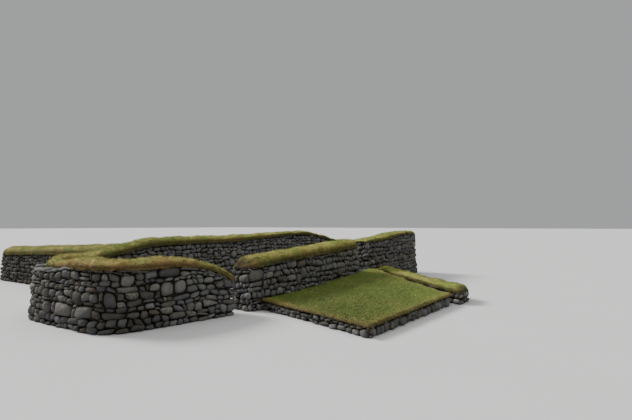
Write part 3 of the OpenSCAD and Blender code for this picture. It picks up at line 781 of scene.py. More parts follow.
def cap_rings(outer, inner, crest, look, ends, seed):
    """Rings of a turf cap along a wall, shape (rings, points, 3), and what each point is.

    The section goes from the bed under the outer fringe over the crown to the inner fringe. The crown is
    at across = (1 - sign(cos a) |cos a|^(2/p)) / 2 and up = sin(a)^(2/p). Each end is carried past its
    stones and rounded down by sqrt(1 - (1 - e / r)^2), e being the distance from the end.
    """
    run = distances((outer[:, 3:] + inner[:, 3:]) / 2)
    low, high = -ends[0][0], run[-1] + ends[1][0]
    turn = 1 - np.cos(np.linspace(0, math.pi / 2, 9))
    fine = np.concatenate([low + ends[0][1] * turn, high - ends[1][1] * turn,
                           np.arange(low + ends[0][1] + 0.04, high - ends[1][1] - 0.04, CAP_STEP)])
    fine = np.unique(np.round(fine, 3))
    o, i = (softened(along_line(fine, run, side[:, 3:])) for side in (outer, inner))
    for line, side in ((o, outer), (i, inner)):
        for end, before, past in ((0, 1, np.minimum(fine, 0)), (-1, -2, np.maximum(fine - run[-1], 0))):
            way = side[end, 3:] - side[before, 3:]
            line += np.outer(abs(past) / np.linalg.norm(way), way)
    height = np.interp(np.clip(fine, ends[0][2], run[-1] - ends[1][2]), run, crest)
    fade, taper, bare = np.ones(len(fine)), np.zeros(len(fine)), 0.0
    for (_, reach, _), e in zip(ends, (fine - low, high - fine)):
        if reach:
            rise = np.sqrt(np.clip(1 - (1 - np.minimum(e / reach, 1)) ** 2, 0.005, 1))
            fade, taper = fade * rise, taper + END_TAPER * reach * (1 - rise)
        bare = np.maximum(bare, np.clip(5 * reach - 1, 0, 1) * np.clip(1.0 - e / 0.7, 0, 1)[:, None])
    inward = unit(i - o)
    o += inward * (setback(o) + taper)[:, None]
    i -= inward * taper[:, None]
    width = lengths(i - o)[:, None]

    def edge_points(line, inward):
        """Points at one edge of the cap, from its bed to its lip, for each ring."""
        hang = look.fringe_hang * (0.6 + 0.7 * mottle(line, 0.3, seed)
                                   + 0.8 * mottle(line, 0.1, seed + 1)) * fade
        return [line + inward * x + np.outer(z - share * hang, [0, 0, 1]) for x, z, share, _ in CAP_FRINGE]

    a = np.linspace(0, math.pi, CROWN_POINTS)
    across, up = (1 - rounded(np.cos(a), CROWN_P)) / 2, rounded(np.sin(a), CROWN_P)
    lip, rise = 0.05 * fade, np.maximum(height - CROWN_SINK - 0.05, 0.55 * height) * fade
    crown = [o + inward * (x * (width + 2 * CAP_OVER) - CAP_OVER) + np.outer(lip + rise * z, [0, 0, 1])
             for x, z in zip(across, up)]
    points = np.stack(edge_points(o, inward) + crown + edge_points(i, -inward)[::-1], axis=1)
    fringe = [earthy for *_, earthy in CAP_FRINGE]
    # Over the crown, edge grows down its sides: painted shade in the earth's brown, darkest low on each
    # side; at the fringes it is the real earth of the lip
    edge = np.concatenate([fringe, 0.9 * (1 - up), fringe[::-1]])
    side = np.concatenate([np.zeros(len(fringe)), across, np.ones(len(fringe))])
    return points, side, np.maximum(edge, bare), bare, run, fine


def grid_normals(grid):
    """Normals of a grid of points: the way along it crossed with the way around it."""
    return unit(np.cross(np.gradient(grid, axis=0), np.gradient(grid, axis=1)))


def roughened(grid, amount, seed):
    """Grid of points moved along its own normals by lumps, tufts and blades' clumps of three sizes."""
    lumps = 0.035 * mottle(grid, 0.5, seed) + 0.026 * mottle(grid, 0.17, seed + 1)
    lumps += 0.02 * mottle(grid, 0.09, seed + 2)
    return grid + grid_normals(grid) * (lumps * amount)[..., None]


def add_blades(skin, grid, weight, droop, length, look, rng, dry, edge):
    """Adds blades of grass to a grid: spikes of four triangles, each with a three-sided foot.

    A blade stands at a random place of a random cell, drawn in proportion to area times weight. It
    points along normal + up (1 - 2 droop) + a random lean.
    """
    a, b, c, d = grid[:-1, :-1], grid[1:, :-1], grid[1:, 1:], grid[:-1, 1:]
    normal = np.cross(b - a, d - a)
    chance = (lengths(normal) * weight).ravel()
    count = int(look.blade_density * chance.sum())
    i, j = np.unravel_index(rng.choice(chance.size, count, p=chance / chance.sum()), normal.shape[:2])
    f, g = rng.random((2, count, 1))
    root = (a[i, j] * (1 - f) + b[i, j] * f) * (1 - g) + (d[i, j] * (1 - f) + c[i, j] * f) * g
    way = unit(normal[i, j]) + (1 - 2 * droop[i, j][:, None]) * np.array([0, 0, 0.8])
    way = unit(way + rng.normal(0, 0.38, (count, 3)))
    reach = length[i, j] * rng.uniform(0.55, 1.3, count)
    first = unit(np.cross(way, [0.36, 0.48, 0.8]))
    second = np.cross(way, first)
    turn = rng.uniform(0, 2 * math.pi, count)[:, None]
    foot = root - way * 0.01
    corners = [foot + look.blade_width / 2 * (first * np.cos(angle) + second * np.sin(angle))
               for angle in (turn + k * 2 * math.pi / 3 for k in range(3))]
    points = np.stack([*corners, root + way * reach[:, None]], axis=1)
    base = (np.arange(count) * 4)[:, None]
    faces = np.vstack([base + np.array(face) for face in ([0, 1, 3], [1, 2, 3], [2, 0, 3], [0, 2, 1])])
    tone = np.clip(rng.normal(0.5, 0.3, count), 0, 1)[:, None] + np.array([-0.25, -0.25, -0.25, 0.5])
    skin.add(points, [faces], tone=tone, dry=np.repeat(dry[i, j] + rng.normal(0, 0.1, count), 4),
             edge=np.repeat(edge[i, j] * 0.5, 4))


def grow_caps(context, names, pairs, dryness, seed, ends):
    """Grows the turf over a run of walls, as one piece for each turf node, all cut from the same rings.

    A piece runs one ring on past each cut, drawn in under its neighbour there.
    """
    look = context.scene.turf_looks
    rng = np.random.default_rng(seed)
    turfs = [turf_of(name) for name in names]
    outer, inner, _ = joined(pairs)
    crests = [crest_heights(name, *pair) for name, pair in zip(turfs, pairs)]
    crest = np.concatenate([crests[0]] + [crest[1:] for crest in crests[1:]])
    rings, side, edge, bare, run, fine = cap_rings(outer, inner, crest, look, ends, seed)
    bed = np.ones(len(side), bool)
    bed[BED_POINTS:-BED_POINTS] = False
    rings = roughened(rings, np.where(bed, 0, 1 + bare), seed)
    outer_dry, top_dry, inner_dry = dryness(rings.mean(axis=1))
    dry = np.where(side < 0.2, outer_dry + (top_dry - outer_dry) * side / 0.2,
                   top_dry + (inner_dry - top_dry) * (side - 0.2) / 0.8)
    dry = dry + 0.2 * mottle(rings, 0.6, seed + 4) + 0.22 * mottle(rings, 0.15, seed + 5)
    # Tone is painted light with random mottle: the crest of each cap is painted lighter as if sunlit, more
    # so towards the far gable
    painted_sun_along_house = np.clip(rings[..., 0] / 6 + 0.9, 0, 1)
    tone = 0.45 + painted_sun_along_house * (0.2 + 0.65 * np.sin(math.pi * side))
    tone = tone + 0.35 * mottle(rings, 0.24, seed + 7) + 0.5 * mottle(rings, 0.1, seed + 6)
    cuts = np.searchsorted(fine, run[np.cumsum([0] + [len(pair[0]) - 1 for pair in pairs])])
    cuts[0], cuts[-1] = 0, len(fine) - 1
    for k, name in enumerate(turfs):
        part = slice(max(cuts[k] - 1, 0), min(cuts[k + 1] + 2, len(fine)))
        grid = rings[part].copy()
        for end, is_cut in ((0, k > 0), (-1, k < len(turfs) - 1)):
            if is_cut:
                grid[end] += (grid[end].mean(axis=0) - grid[end]) * 0.03
        skin = Skin()
        skin.add(grid, tube_faces(*grid.shape[:2]), tone=tone[part], dry=dry[part], edge=edge[part])
        hanging = np.clip((edge[part][:-1, :-1] - 0.4) / 0.5, 0, 1) * (side[:-1] % 1 == 0)
        length = look.blade_length * (1 + 0.5 * hanging)
        weight = np.where(bed[:-1], 0, 1 + 2.2 * hanging)
        add_blades(skin, grid, weight, hanging, length, look, rng, dry[part], edge[part])
        slot = turf_slot(name)
        skin.piece(name + "_grass", finish_of(slot, turf_finish, look), [name], slot)


def edge_line(side):
    """Line x(y) through the tops of one side of a straight wall."""
    return np.poly1d(np.polyfit(side[:, 4], side[:, 3], 1))


def terrace_top(near, slot):
    """Top of the terrace's sod as a grid: columns from the near edge to the slot, rows to the house.

    The corners are sorted into columns by their share of the way between the lines of the two edges.
    """
    points = node_mesh("terrace_turf", up=0.4)
    rows = len(near) + 2
    if len(points) % rows:
        raise RuntimeError(f"the terrace's sod has {len(points)} corners on top, not whole rows of {rows}")
    left, right = edge_line(near)(points[:, 1]), edge_line(slot)(points[:, 1])
    columns = points[np.argsort((points[:, 0] - left) / (right - left))].reshape(-1, rows, 3)
    return np.stack([column[np.argsort(column[:, 1])] for column in columns])


def refined(grid, step):
    """Grid with points about every step, between its own by straight lines."""
    for axis in (0, 1):
        gaps = lengths(np.diff(grid, axis=axis)).mean(axis=1 - axis)
        run = np.append(0, np.cumsum(gaps))
        fine = np.linspace(0, run[-1], int(run[-1] / step) + 1)
        place = np.interp(fine, run, np.arange(len(run)))
        low = np.minimum(place.astype(int), len(run) - 2)
        share = (place - low).reshape((-1, 1, 1) if axis == 0 else (1, -1, 1))
        grid = np.take(grid, low, axis=axis) * (1 - share) + np.take(grid, low + 1, axis=axis) * share
    return grid


def widened(grid, axis, end, hang, lines):
    """Grid with rows added at one end, each given as out, down, and down by share of the fringe."""
    last = np.take(grid, -1 if end else 0, axis=axis)
    out = unit((last - np.take(grid, -2 if end else 1, axis=axis)) * [1, 1, 0])
    length = hang * (1 + 0.5 * mottle(last, 0.3, TURF_SEED) + 0.4 * mottle(last, 0.09, TURF_SEED + 1))
    rows = []
    for reach, drop, share in lines:
        rows.append(last + out * reach)
        rows[-1][..., 2] -= drop + share * length
    rows = np.stack(rows if end else rows[::-1], axis=axis)
    return np.concatenate([grid, rows] if end else [rows, grid], axis=axis)


class Wire:
    """An output of a shader node, for use in sums. A sum of values adds its Math nodes."""

    def __init__(self, finish, socket):
        self.finish, self.socket = finish, socket

    def __add__(self, other):
        return self.finish.maths("ADD", self, other)

    def __sub__(self, other):
        return self.finish.maths("SUBTRACT", self, other)

    def __mul__(self, other):
        return self.finish.maths("MULTIPLY", self, other)

    __radd__ = __add__
    __rmul__ = __mul__


class Finish:
    """The nodes of one material."""

    def __init__(self, name):
        self.material = bpy.data.materials.new(name + "_finish")
        self.material.use_nodes = True
        self.tree = self.material.node_tree
        self.tree.nodes.clear()

    def add(self, kind, settings=(), sockets=(), out=0):
        """Adds a node: its kind, its settings, then its socket values or wires. Returns its output."""
        node = self.tree.nodes.new("ShaderNode" + kind)
        for key, value in dict(settings).items():
            setattr(node, key, value)
        for key, value in dict(sockets).items():
            if isinstance(value, Wire):
                self.tree.links.new(value.socket, node.inputs[key])
            else:
                node.inputs[key].default_value = value
        return Wire(self, node.outputs[out]) if node.outputs else None

    def maths(self, operation, first, second):
        """A sum, a difference or a product of two numbers or wires."""
        return self.add("Math", {"operation": operation}, {0: first, 1: second})

    def between(self, value, low, high):
        """Share from 0 to 1 of the way of a value from low to high."""
        return self.add("MapRange", (), {"Value": value, "From Min": low, "From Max": high})

    def number(self, name):
        """The piece's own number of that name."""
        return self.add("Attribute", {"attribute_name": name}, out=2)

    def noise(self, size, detail=3.0, roughness=0.55, squash=(1.0, 1.0, 1.0), low=0.3, high=0.7):
        """Noise from 0 at its value low to 1 at high, with lumps of that size in metres."""
        place = self.add("Mapping", (), {"Vector": self.add("TexCoord", out=3), "Scale": squash})
        return self.between(self.add("TexNoise", (), {
            "Vector": place, "Scale": 1 / size, "Detail": detail, "Roughness": roughness}), low, high)

    def cells(self, size):
        """Distance from the middle of random cells of that size in metres, for chipped facets."""
        return self.add("TexVoronoi", (), {"Vector": self.add("TexCoord", out=3), "Scale": 1 / size})

    def mix(self, share, first, second, blend="MIX"):
        """First colour turning to the second by share, from 0 to 1."""
        colours = [colour if isinstance(colour, Wire) else (*colour, 1.0) for colour in (first, second)]
        settings = {"data_type": "RGBA", "blend_type": blend, "clamp_factor": True}
        return self.add("Mix", settings, {0: share, 6: colours[0], 7: colours[1]}, out=2)

    def lit(self, colour, share):
        """A colour made lighter or darker: times share in every channel."""
        scale = self.add("CombineColor", (), dict.fromkeys(("Red", "Green", "Blue"), share))
        return self.mix(1.0, colour, scale, blend="MULTIPLY")

    def close(self, colour, roughness, bump, depth, specular=0.3):
        """Ends the material in its shader, with a bump of that depth in metres."""
        normal = self.add("Bump", (), {"Strength": 1.0, "Distance": depth, "Height": bump})
        shader = self.add("BsdfPrincipled", (), {"Base Color": colour, "Roughness": roughness,
                                                 "Normal": normal, "Specular IOR Level": specular})
        self.add("OutputMaterial", (), {"Surface": shader})
        return self.material


def finish_of(name, make, look):
    """The finish of that name, made at its first use."""
    return bpy.data.materials.get(name + "_finish") or make(name, look)


def stone_finish(name, look):
    """Dark basalt: light and warm stones, mineral grain, moss and lichen, dark earth in the joints, and
    painted light that makes faces looking up lighter.
    """
    finish = Finish(name)
    tone, warm, lichen, joint = (finish.number(key) for key in ("tone", "warm", "lichen", "joint"))
    patch = finish.noise(0.22, 4.0, 0.6)
    grain = finish.noise(0.025, 6.0, 0.7)
    pits = finish.noise(0.007, 3.0, 0.6)
    light = finish.between(tone + 0.3 * patch + 0.25 * grain, 0.0, 1.4)
    colour = finish.mix(light, look.dark, look.light)
    colour = finish.mix(warm * 0.8, colour, look.warm)
    colour = finish.mix(finish.between(warm, 0.0, -1.0), colour, finish.mix(light, look.dark, look.cool))
    colour = finish.mix(finish.noise(0.35, 3.0, low=0.5, high=0.8) * 0.3, colour, look.warm)
    rise = finish.add("SeparateXYZ", (), {0: finish.add("NewGeometry", out=1)}, out=2)
    moss = finish.between(finish.noise(0.12, 5.0, 0.65) + 0.5 * rise, 0.5, 1.1)
    colour = finish.mix(moss * 0.45, colour, look.moss)
    spots = finish.between(finish.noise(0.035, 4.0, 0.6) + 0.6 * lichen + 0.1 * rise, 0.9, 1.05)
    colour = finish.mix(spots * 0.75, colour, look.lichen)
    # 0.2 rise is painted light from above: faces that look up are lighter, on top of the stones' own grain
    #                                       and pits
    colour = finish.lit(colour, 0.55 + 0.2 * pits + 0.45 * grain + 0.2 * rise)
    colour = finish.mix(joint, colour, look.joint)
    bump = 0.5 * grain + 0.4 * finish.cells(0.07) + 0.3 * patch + 0.15 * pits
    return finish.close(colour, 0.76 + 0.16 * grain, bump, look.grain_depth, 0.12)


def turf_finish(name, look):
    """Grass that turns from green over olive to ochre by its dryness, with brown earth at its edges,
    painted light and shade from its tone, and painted brown shade low on a cap's sides.
    """
    finish = Finish(name)
    tone, dry, edge = (finish.number(key) for key in ("tone", "dry", "edge"))
    tufts = finish.noise(0.055, 5.0, 0.75)
    stems = finish.noise(0.02, 4.0, 0.7, squash=(1.0, 1.0, 0.35))
    dryness = dry + 0.4 * (tufts - 0.5) + 0.3 * (finish.noise(0.8, 3.0, 0.6) - 0.5)
    colour = finish.mix(finish.between(dryness, 0.05, 0.5), look.green, look.olive)
    colour = finish.mix(finish.between(dryness, 0.5, 0.95), colour, look.ochre)
    # Tone brings painted light and shade; the bright flecks where tufts and stems meet are partly the
    # grass's own texture and partly painted highlights
    colour = finish.lit(colour, 0.1 + 0.6 * tone + 2.4 * (tufts * stems))
    # Edge brings the brown: real earth at the fringes and painted shade down the sides of a cap's crown
    earth = finish.between(edge + 0.5 * (tufts - 0.5) + 0.3 * (stems - 0.5), 0.3, 1.0)
    colour = finish.mix(earth, colour, look.edge)
    return finish.close(colour, 0.8 + 0.15 * tufts, 0.5 * tufts + 0.5 * stems, look.tuft_depth, 0.15)


def earth_finish(name, look):
    """Packed earth: brown crumbs of two sizes."""
    finish = Finish(name)
    clods, crumbs = finish.noise(0.15, 4.0), finish.noise(0.015, 5.0, 0.7)
    colour = finish.lit(finish.mix(0.5 * clods, look.edge, look.ochre), 0.5 + 0.6 * crumbs)
    return finish.close(colour, 0.8 + 0.15 * crumbs, clods + crumbs, look.tuft_depth, 0.2)


def turf_slot(name):
    """Material slot of a turf node: dry on the front and the near gable, green behind and beside."""
    dry = name.startswith(("near_gable", "near_front", "front_wall", "far_front"))
    return "dry_turf" if dry else "green_turf"


def turf_of(name):
    """Name of the turf node on a wall node."""
    on_top = name + "_turf"
    return on_top if on_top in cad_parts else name.removesuffix("_wall") + "_turf"


def house_dryness(middle):
    """Dryness of a house cap at its outer lip, its top and its inner lip, from where its middle is."""
    x, y = middle[:, :1], middle[:, 1:2]
    front = np.clip((-0.6 - y) / 2.0, 0, 1)
    outer = 0.3 + front * (np.interp(x, *FRONT_DRYNESS) - 0.2)
    top = 0.25 + front * (np.interp(x, *TOP_DRYNESS) - 0.15)
    return outer, top, top + 0.1


def wall_dryness(middle):
    """Dryness of the cap of another wall, the same all over."""
    return [np.full((len(middle), 1), WALL_DRYNESS)] * 3


def terrace_sides():
    """Right and left sides of the terrace's near, front and slot walls, in their order round it."""
    return [straight_sides(name, way) for name, way in zip(TERRACE, TERRACE_WAYS)]


def buried(points):
    """True for places on the house walls that the terrace, the yard wall or the low wall covers."""
    (near, _), _, (slot, _) = terrace_sides()
    x, y, z = points.T
    earth = node_mesh("terrace_earth", up=0.4)
    earth = earth[earth[:, 1] > earth[:, 1].max() - 0.4]
    earth = earth[np.argsort(earth[:, 0])]
    level = np.interp(x, earth[:, 0], earth[:, 2])
    front = (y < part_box("near_front_corner")[0].y) & (y < -5.4)
    across = (x > edge_line(near)(y) + COVER_ALONG) & (x < edge_line(slot)(y) - COVER_ALONG)
    under = front & across & (z < level - COVER_UP)
    for name, drop in COVER_DROPS:
        low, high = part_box(name)
        sides = straight_sides(name, YARD_WAY)
        left, right = sorted([edge_line(side)(y) for side in sides], key=lambda line: line.mean())
        near_it = (y > low.y - 0.6) & (y < high.y + 0.2)
        across = (x > left + COVER_BESIDE) & (x < right - COVER_BESIDE)
        under |= near_it & across & (z < high.z - drop)
    return under


def stone_kit(context, step):
    """The stones' looks, their finish, and the random numbers of one step."""
    look = context.scene.stone_looks
    return look, finish_of("drystone", stone_finish, look), np.random.default_rng(STONE_SEED + step)


def make_pieces(skins, finish):
    """Makes one piece of stones for each skin, in place of the CAD node of its name."""
    for name, skin in skins.items():
        skin.piece(name + "_stones", finish, [name], "drystone")


def number_prop(name, description, default, **limits):
    """A plain number from 0 up, with its own limits, unit or subtype."""
    return bpy.props.FloatProperty(name=name, description=description, default=default, min=0, **limits)


def length_prop(name, description, default):
    """A length from 0 up."""
    return number_prop(name, description, default, unit="LENGTH")


def angle_prop(name, description, degrees):
    """An angle from 0 to a half turn, with its default in degrees."""
    return number_prop(name, description, math.radians(degrees), max=math.pi, subtype="ANGLE")


def colour_prop(name, thing, default):
    """The colour of a thing."""
    return bpy.props.FloatVectorProperty(name=name, description="Colour of " + thing, default=default,
                                         min=0, max=1, subtype="COLOR")


class StoneLooks(bpy.types.PropertyGroup):
    """Sizes and colours of the stones"""

    joint_width: length_prop("Joint Width", "Mean gap between two stones", 0.014)
    bulge: number_prop("Bulge", "How far a stone stands out, as a share of its height", 0.27, max=0.5)
    grain_depth: length_prop("Grain Depth", "Depth of the grain of a stone's face", 0.012)
    dark: colour_prop("Dark Stone", "the darkest stones", (0.026, 0.026, 0.023))
    light: colour_prop("Light Stone", "the lightest stones", (0.205, 0.203, 0.195))
    warm: colour_prop("Warm Stone", "the red-brown stones", (0.095, 0.066, 0.046))
    cool: colour_prop("Cool Stone", "the lightest blue-grey stones", (0.205, 0.2, 0.24))
    moss: colour_prop("Moss", "the film of moss", (0.045, 0.045, 0.018))
    lichen: colour_prop("Lichen", "the spots of lichen", (0.22, 0.22, 0.18))
    joint: colour_prop("Joint", "the earth seen between the stones", (0.034, 0.03, 0.023))


class TurfLooks(bpy.types.PropertyGroup):
    """Sizes and colours of the turf"""

    fringe_hang: length_prop("Fringe", "How far the edge of a turf cap hangs over the stones", 0.022)
    tuft_depth: length_prop("Tuft Depth", "Depth of the tufts on the turf's surface", 0.035)
    blade_length: length_prop("Blade Length", "Mean length of a blade of grass", 0.045)
    blade_width: length_prop("Blade Width", "Width of a blade at its foot", 0.012)
    blade_density: number_prop("Blade Density", "Blades on a square metre of plain turf", 560, max=2000)
    green: colour_prop("Green", "the fresh grass", (0.16, 0.215, 0.042))
    olive: colour_prop("Olive", "the grass that is turning", (0.34, 0.30, 0.085))
    ochre: colour_prop("Ochre", "the dry grass", (0.36, 0.24, 0.085))
    edge: colour_prop("Edge", "the earth and roots at the turf's edge", (0.058, 0.04, 0.026))


class StageLooks(bpy.types.PropertyGroup):
    """Light and colour of the stage"""

    sun_strength: number_prop("Sun", "Strength of the soft sun", 4.4)
    sun_angle: angle_prop("Sun Size", "Angle that the soft sun fills", 20)
    ceiling_strength: number_prop("Ceiling", "Strength of the wide light from above", 1.5)
    ceiling_angle: angle_prop("Ceiling Size", "Angle that the light from above fills", 120)
    sky_strength: number_prop("Sky", "Strength of the light from all round", 0.5)
    backdrop: colour_prop("Backdrop", "the light from all round", (0.80, 0.81, 0.82))
    floor: colour_prop("Floor", "the floor", (0.58, 0.58, 0.57))


class LayHouseStones(bpy.types.Operator):
    """Lays the stones of the house walls, over both faces and the ends beside the doorways"""

    bl_idname = "turf_house.lay_house_stones"
    bl_label = "House Stones"

    def execute(self, context):
        look, finish, rng = stone_kit(context, 0)
        # The last number of each run, pale, lifts its outer half and its inner half; the lift on the inner
        # faces is painted fill light for their shade
        for names, start, features, stretch, pale in (
            (ROUND, ROUND_START, ROUND_STONES, 1.0, (0.0, 0.5)),
            (MIDDLE, MIDDLE_START, MIDDLE_STONES, 0.72, (0.4, 0.5)),
        ):
            pairs = house_sides(names, start)
            outer, inner, owners = joined(pairs)
            outer = sized(outer, np.interp(outer[:, 0], *SCALES))
            inner = sized(inner, np.interp(inner[:, 0], *SCALES) * INNER_SCALE)
            strip = round_strip(names, outer, inner, owners, closed=True)
            skins = lay_walls(strip, pairs, (CORE_DEPTH, CORE_DEPTH), look, rng, features=features,
                              stretch=stretch, pale=pale, hidden=buried)
            for name, pair in zip(names, pairs):
                if name in BARE_TOPS:
                    self.lay_ledge(skins, name, *pair, look, rng)
            make_pieces(skins, finish)
        self.lay_threshold(look, rng, finish)
        return {"FINISHED"}

    def lay_ledge(self, skins, name, outer, inner, look, rng):
        """Lays pale slabs on the outer part of a wall's top, where the turf is set back."""
        across = unit(inner[:, 3:] - outer[:, 3:]) * (SETBACK + 0.15)
        scale, cap_t = LEDGE_SLABS
        ledge = sized(np.hstack([outer[:, 3:] - across * 0.04, outer[:, 3:] + across]), scale)
        lay_stones(Strip([name], ledge), skins, look, rng, cap_t=cap_t, swell=SLAB_SWELL,
                   pale=(0.35, 0.35))

    def lay_threshold(self, look, rng, finish):
        """Lays the threshold of the far doorway: small stones in front and behind, slabs on top."""
        name = "far_doorway_threshold"
        outer, inner = straight_sides(name, (1, 0))
        skins = {name: Skin()}
        add_core(skins[name], outer, inner)
        for side in (outer, inner[::-1]):
            lay_stones(Strip([name], sized(side, 1.0)), skins, look, rng, hidden=buried)
        scale, cap_t = THRESHOLD_SLABS
        slabs = sized(np.hstack([outer[:, 3:], inner[:, 3:]]), scale)
        lay_stones(Strip([name], slabs), skins, look, rng, cap_t=cap_t, swell=SLAB_SWELL)
        make_pieces(skins, finish)


class LayTerraceStones(bpy.types.Operator):
    """Lays the blocky edge stones of the terrace"""

    bl_idname = "turf_house.lay_terrace_stones"
    bl_label = "Terrace Stones"

    def execute(self, context):
        look, finish, rng = stone_kit(context, 1)
        sides = terrace_sides()
        near, front, slot = (sized(right, scale) for (right, _), scale in zip(sides, (0.85, 2.0, 1.0)))
        stations = np.vstack([near, front, slot])
        stations[:, 5] += EDGE_RISE
        owners = np.repeat([0, 1, 2], [len(near) - 1, len(front) + 1, len(slot)])
        skins = lay_walls(Strip(TERRACE, stations, owners), sides, (0, 0), look, rng, cap_t=0.04,
                          stretch=1.15, spread=-0.1, pale=(0.1, 0.25))
        make_pieces(skins, finish)
        earth = finish_of("packed_earth", earth_finish, context.scene.turf_looks)
        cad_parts["terrace_earth"].material_slots[0].material = earth
        return {"FINISHED"}


class LayWallStones(bpy.types.Operator):
    """Lays the stones of the low wall and of the yard wall, and of their outer ends"""

    bl_idname = "turf_house.lay_wall_stones"
    bl_label = "Low and Yard Wall Stones"

    def execute(self, context):
        for step, names, way, scale, laying in (
            (2, ["low_wall"], LOW_WAY, 1.15, {"features": LOW_WALL_STONES, "stretch": 0.85}),
            (3, YARD, YARD_WAY, 1.1, {"pale": (-0.15, -0.15)}),
        ):
            look, finish, rng = stone_kit(context, step)
            pairs = [straight_sides(name, way) for name in names]
            right, left, owners = joined(pairs)
            strip = round_strip(names, sized(right, scale), sized(left, scale), owners)
            make_pieces(lay_walls(strip, pairs, (0, CORE_DEPTH), look, rng, **laying), finish)
        return {"FINISHED"}


class GrowHouseTurf(bpy.types.Operator):
    """Grows the turf caps on the house walls"""

    bl_idname = "turf_house.grow_house_turf"
    bl_label = "House Turf"

    def execute(self, context):
        for seed, names, start, end in ((TURF_SEED, ROUND, ROUND_START, CAP_END),
                                        (TURF_SEED + 1, MIDDLE, MIDDLE_START, BLUNT_END)):
            grow_caps(context, names, house_sides(names, start), house_dryness, seed, (end, end))
        return {"FINISHED"}


class GrowWallTurf(bpy.types.Operator):
    """Grows the turf caps on the low wall and the yard wall"""

    bl_idname = "turf_house.grow_wall_turf"
    bl_label = "Low and Yard Wall Turf"

    def execute(self, context):
        for seed, names, way, start in ((TURF_SEED + 5, YARD, YARD_WAY, YARD_START),
                                        (TURF_SEED + 6, ["low_wall"], LOW_WAY, LOW_START)):
            pairs = [straight_sides(name, way) for name in names]
            grow_caps(context, names, pairs, wall_dryness, seed, (start, BLUNT_END))
        return {"FINISHED"}


class GrowTerraceTurf(bpy.types.Operator):
    """Grows the sod of the terrace, with a hanging fringe round its three free edges"""

    bl_idname = "turf_house.grow_terrace_turf"
    bl_label = "Terrace Turf"

    def execute(self, context):
        look = context.scene.turf_looks
        (near, _), _, (slot, _) = terrace_sides()
        grid = refined(terrace_top(near, slot), CAP_STEP)
        grid = roughened(grid, np.full(grid.shape[:2], 0.8), TURF_SEED + 8)
        for axis, end in ((0, False), (0, True), (1, False)):
            grid = widened(grid, axis, end, look.fringe_hang, SOD_FRINGE)
        grid = widened(grid, 1, True, 0, SOD_TUCK)
        n, m = grid.shape[:2]
        i, j = np.arange(n)[:, None], np.arange(m)[None]
        steps = np.minimum(np.minimum(i, n - 1 - i), j)
        edge = np.interp(steps, [0, 1, 2, 4, 8], [1.0, 0.9, 0.75, 0.5, 0.0])
        rim = np.exp(-np.maximum(steps - len(SOD_FRINGE), 0) * CAP_STEP / 0.25)
        # Tone here is painted light and shade with random mottle: lighter by the house to make up for its
        # shadow, darker across the middle, and lighter towards the slot side of the outer edge as if sunlit
        away = np.clip((-5.9 - grid[..., 1]) / 5.2, 0, 1)
        dry = 0.04 + 0.5 * rim + 0.08 * mottle(grid, 0.8, TURF_SEED + 9) + 0.06 * mottle(grid, 0.2, 3)
        tone = np.interp(away, [0, 0.3, 0.6, 1], [0.35, -0.2, -0.3, -0.15])
        tone = tone + away * (0.9 * i / n - 0.25) + 0.2 * mottle(grid, 0.11, TURF_SEED + 10)
        both = {key: np.tile(value.ravel(), 2) for key, value in
                {"tone": tone, "dry": dry, "edge": edge}.items()}
        skin = Skin()
        skin.add(np.stack([grid, grid - grid_normals(grid) * SOD_THICKNESS]), grid_faces(n, m), **both)
        hanging = np.clip((edge[:-1, :-1] - 0.4) / 0.4, 0, 1)
        length = look.blade_length * (0.9 + 0.5 * hanging)
        weight = np.where(edge[:-1, :-1] > 0.95, 0, 0.55 + 1.5 * hanging)
        rng = np.random.default_rng(TURF_SEED + 11)
        add_blades(skin, grid, weight, hanging, length, look, rng, dry, edge)
        finish = finish_of("terrace_grass", turf_finish, look)
        skin.piece("terrace_turf_grass", finish, ["terrace_turf"], "terrace_grass")
        return {"FINISHED"}


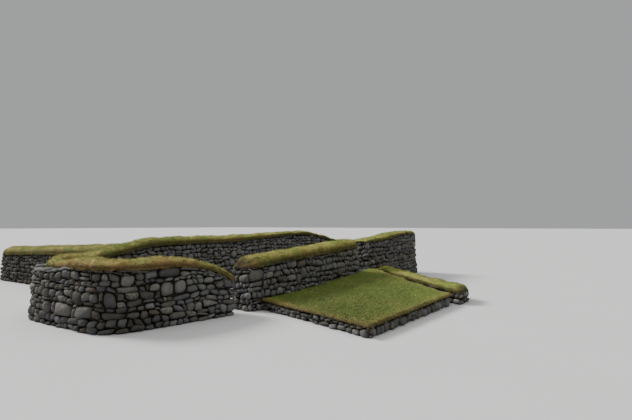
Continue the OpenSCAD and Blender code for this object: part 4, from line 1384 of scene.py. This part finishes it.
class SetStage(bpy.types.Operator):
    """Sets the pale floor, the soft light and the camera"""

    bl_idname = "turf_house.set_stage"
    bl_label = "Stage"

    def execute(self, context):
        look = context.scene.stage_looks
        self.lay_floor(look)
        self.hang_light(context, look)
        lens = bpy.data.cameras.new("camera")
        lens.lens, lens.sensor_width, lens.clip_end = CAMERA_LENS, 36.0, 1000
        camera = new_object("camera", lens)
        camera.location = CAMERA_PLACE
        way = Vector((*CAMERA_WAY, math.tan(math.radians(CAMERA_PITCH))))
        camera.rotation_euler = way.to_track_quat("-Z", "Y").to_euler()
        context.scene.camera = camera
        return {"FINISHED"}

    def lay_floor(self, look):
        mesh = bpy.data.meshes.new("floor")
        corners = [(x * FLOOR_REACH, y * FLOOR_REACH, 0) for x, y in ((-1, -1), (1, -1), (1, 1), (-1, 1))]
        mesh.from_pydata(corners, [], [(0, 1, 2, 3)])
        finish = Finish("floor")
        shade = finish.mix(finish.noise(3.0, 2.0), look.floor, tuple(0.97 * c for c in look.floor))
        mesh.materials.append(finish.close(shade, 0.9, finish.noise(0.3), 0.001, 0.1))
        floor = new_object("floor", mesh)

    def hang_light(self, context, look):
        for name, place, strength, angle in (
            ("sun", SUN_FROM, look.sun_strength, look.sun_angle),
            ("ceiling", (0, 0, 1), look.ceiling_strength, look.ceiling_angle),
        ):
            light = bpy.data.lights.new(name, "SUN")
            light.energy, light.angle = strength, angle
            new_object(name, light).rotation_euler = Vector(place).to_track_quat("Z", "Y").to_euler()
        world = context.scene.world or bpy.data.worlds.new("sky")
        context.scene.world = world
        world.use_nodes = True
        sky = world.node_tree.nodes["Background"]
        sky.inputs["Color"].default_value = (*look.backdrop, 1.0)
        sky.inputs["Strength"].default_value = look.sky_strength


STEPS = [LayHouseStones, LayTerraceStones, LayWallStones, GrowHouseTurf, GrowWallTurf, GrowTerraceTurf,
         SetStage]
LOOKS = {"stone_looks": StoneLooks, "turf_looks": TurfLooks, "stage_looks": StageLooks}


class TurfHousePanel(bpy.types.Panel):
    """Lists the steps that make the turf house"""

    bl_idname = "TURF_HOUSE_PT_steps"
    bl_label = "Turf House"
    bl_space_type = "VIEW_3D"
    bl_region_type = "UI"
    bl_category = "Turf House"

    def draw(self, context):
        for step in STEPS:
            self.layout.operator(step.bl_idname)
        for name, group in LOOKS.items():
            box = self.layout.box()
            for key in group.__annotations__:
                box.prop(getattr(context.scene, name), key)


def register():
    for group in (*LOOKS.values(), *STEPS, TurfHousePanel):
        bpy.utils.register_class(group)
    for name, group in LOOKS.items():
        setattr(bpy.types.Scene, name, bpy.props.PointerProperty(type=group))


def unregister():
    for name in LOOKS:
        delattr(bpy.types.Scene, name)
    for group in reversed((*LOOKS.values(), *STEPS, TurfHousePanel)):
        bpy.utils.unregister_class(group)


def main():
    register()
    for step in STEPS:
        getattr(bpy.ops.turf_house, step.bl_idname.split(".")[1])()


if __name__ == "__main__":
    main()
